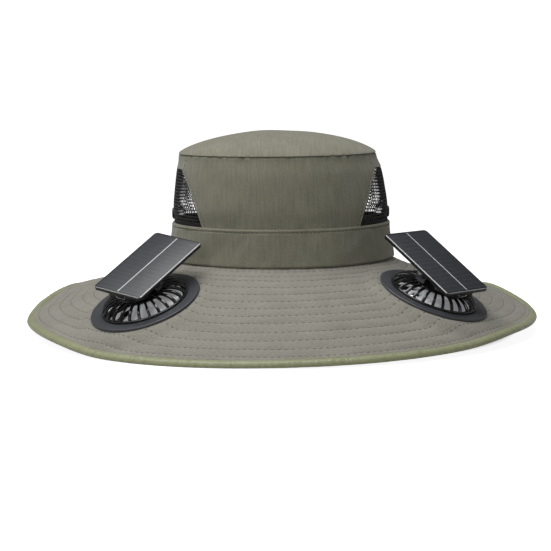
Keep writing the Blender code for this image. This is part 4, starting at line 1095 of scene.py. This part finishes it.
# height and growth of the socket's rim, from its root over the lip to the inner wall
SOCKET = ((-0.0004, 0.0), (0.0002, 0.0), (0.0004, -0.0002), (0.0004, -0.0004), (0.0002, -0.0006),
          (-0.0004, -0.0006))
lip = []
for height, grow in SOCKET:
    ring = plate_rings(0.0089 + 2 * grow, 0.0033 + 2 * grow, 0.0015 + grow, 0.0, 0.001,
                       bevel=0.0001)[2]
    lip.append([(x, y, height) for x, y, _ in ring])
dark = [[(x * 0.97, y * 0.97, z) for x, y, _ in lip[3]] for z in (-0.0003, 0.00005)]
for side, (_, _, hinge, inward, _) in UNITS.items():
    body = side + "_panel"
    outer = plate_rings(PANEL_WIDTH, PANEL_LENGTH, 0.003, low, PANEL_TOP, -inward, bevel=0.0003)
    well = plate_rings(PANEL_WIDTH - 2.0 * PANEL_RIM, PANEL_LENGTH - 2.0 * PANEL_RIM, 0.0018, low,
                       PANEL_TOP, -inward, bevel=0.0001)[3]
    well = [[(x, y, PANEL_TOP - down) for x, y, _ in well] for down in (0.0001, 0.0011)]
    moulding(side + "_tray", loft(outer + well), BLACK, hinge, body, side + "_panel_tray")

    points, faces = loft(plate_rings(PANEL_WIDTH - 0.0006, PANEL_LENGTH - 0.0006, 0.0027,
                                     PANEL_TOP + 0.0001, PANEL_TOP + 0.0007, -inward,
                                     bevel=0.0002))
    flat = points[[corner for face in faces for corner in face], :2] + (0.0, inward)
    moulding(side + "_cells", (points, faces), (cell_face, "solar_cell"), hinge, body,
             side + "_solar_cells", loops=flat * (HANDS[side], 1.0))

    end = -inward + PANEL_LENGTH / 2.0 - 0.0032
    box = loft(plate_rings(BOX_WIDTH, BOX_LENGTH, 0.002, BOX_TOP - BOX_DEPTH, BOX_TOP,
                           end - BOX_LENGTH / 2.0, bevel=0.0006))
    moulding(side + "_box", box, BLACK, hinge, body, side + "_panel_box")
    mouth = hinge @ Matrix.Translation((0.0, end, BOX_TOP - BOX_DEPTH / 2.0)) @ Matrix.Rotation(
        -pi / 2.0, 4, "X")
    moulding(side + "_socket_rim", loft(lip, joined=True), BRIGHT, mouth, body,
             side + "_charge_socket")
    moulding(side + "_socket_dark", loft(dark), (guard_plastic, "black_plastic"), mouth, body)
    moulding(side + "_socket_tongue", block(0.0062, 0.0007, 0.0, 0.0004, 0.0001),
             (net_yarn, "black_plastic"), mouth, body)
    print(body, "has its socket at", [round(value, 4) for value in mouth.translation])

# %% [markdown]
# Under the brim each fan has a cover ring with spokes and a small motor. They are hidden in the
# photo, so the CAD pieces themselves show, with the moulded finishes.

# %% Hidden pieces
for side in HANDS:
    for node, paint in ((side + "_fan_cover", guard_plastic), (side + "_fan_motor", steel)):
        mesh = frame["nodes"][node].data
        mesh.materials.clear()
        mesh.materials.append(paint)
        print(node, "is", paint.name)

# %% [markdown]
# The picture: a pale floor that curves up behind, one large soft light above and a little to the
# left, and a weak one in front. The floor shows white but under the hat, where it lies in shade.
# The camera stands 1.4 m off, a little above the hat, with a long lens, as in the photo.

# %% Stage
WHITE = (1.0, 1.0, 1.0, 1.0)
floor_paint, graph, shader = new_material(
    "floor_paint", Base_Color=(0.55, 0.55, 0.55, 1.0), Roughness=0.9, Specular_IOR_Level=0.0,
    Emission_Color=WHITE)
spot = graph.place("Object")
clear = graph.ramp(graph.vector("LENGTH", spot)["Value"], 0.172, 0.188)
graph.feed(shader.inputs["Emission Strength"], graph.times(graph.times(graph.seen(), clear), 0.92))
bumped(graph, shader, graph.noise(spot, 60.0, 2.0), 0.02, 0.001)
arc = [(-3.0, 0.0), (1.6, 0.0)] + [(1.6 + 1.2 * sin(t), 1.2 - 1.2 * cos(t))
                                   for t in np.linspace(0.1, pi / 2.0, 16)] + [(2.8, 4.0)]
mesh = bpy.data.meshes.new("floor")
mesh.from_pydata([(x, y, z - 0.0002) for y, z in arc for x in (-4.0, 4.0)], [],
                 [(2 * i, 2 * i + 1, 2 * i + 3, 2 * i + 2) for i in range(len(arc) - 1)])
mesh.materials.append(floor_paint)
mesh.shade_smooth()
floor = link("floor", mesh)
print("floor", len(mesh.polygons), "faces")

# %% Lights and camera
world = bpy.data.worlds.new("studio")
bpy.context.scene.world = world
world.use_nodes = True
graph = Graph(world.node_tree)
sky = world.node_tree.nodes["Background"].inputs
sky["Color"].default_value = WHITE
graph.feed(sky["Strength"], graph.plus(0.17, graph.times(graph.seen(), 0.9)))
for name, place, size, power in (("top_light", (-0.35, -0.15, 1.4), 1.2, 18.0),
                                 ("front_light", (-0.8, -1.7, 0.8), 0.8, 3.8)):
    data = bpy.data.lights.new(name, "AREA")
    data.shape, data.size, data.energy = "SQUARE", size, power
    lamp = link(name, data)
    lamp.location = place
    lamp.rotation_euler = (Vector((0.0, 0.0, 0.06)) - Vector(place)).to_track_quat(
        "-Z", "Y").to_euler()

LENS, PITCH, ROLL = 114.1, 6.42, -0.55
camera = link("camera", bpy.data.cameras.new("camera"))
camera.data.lens, camera.data.sensor_width = LENS, 36.0
camera.matrix_world = (Matrix.Translation((-0.0048, -1.4, 0.200)) @
                       Matrix.Rotation(radians(90.0 - PITCH), 4, "X") @
                       Matrix.Rotation(radians(ROLL), 4, "Z"))
bpy.context.scene.camera = camera
bpy.context.scene.view_settings.view_transform = "Standard"
print("camera with a lens of", LENS, "mm")
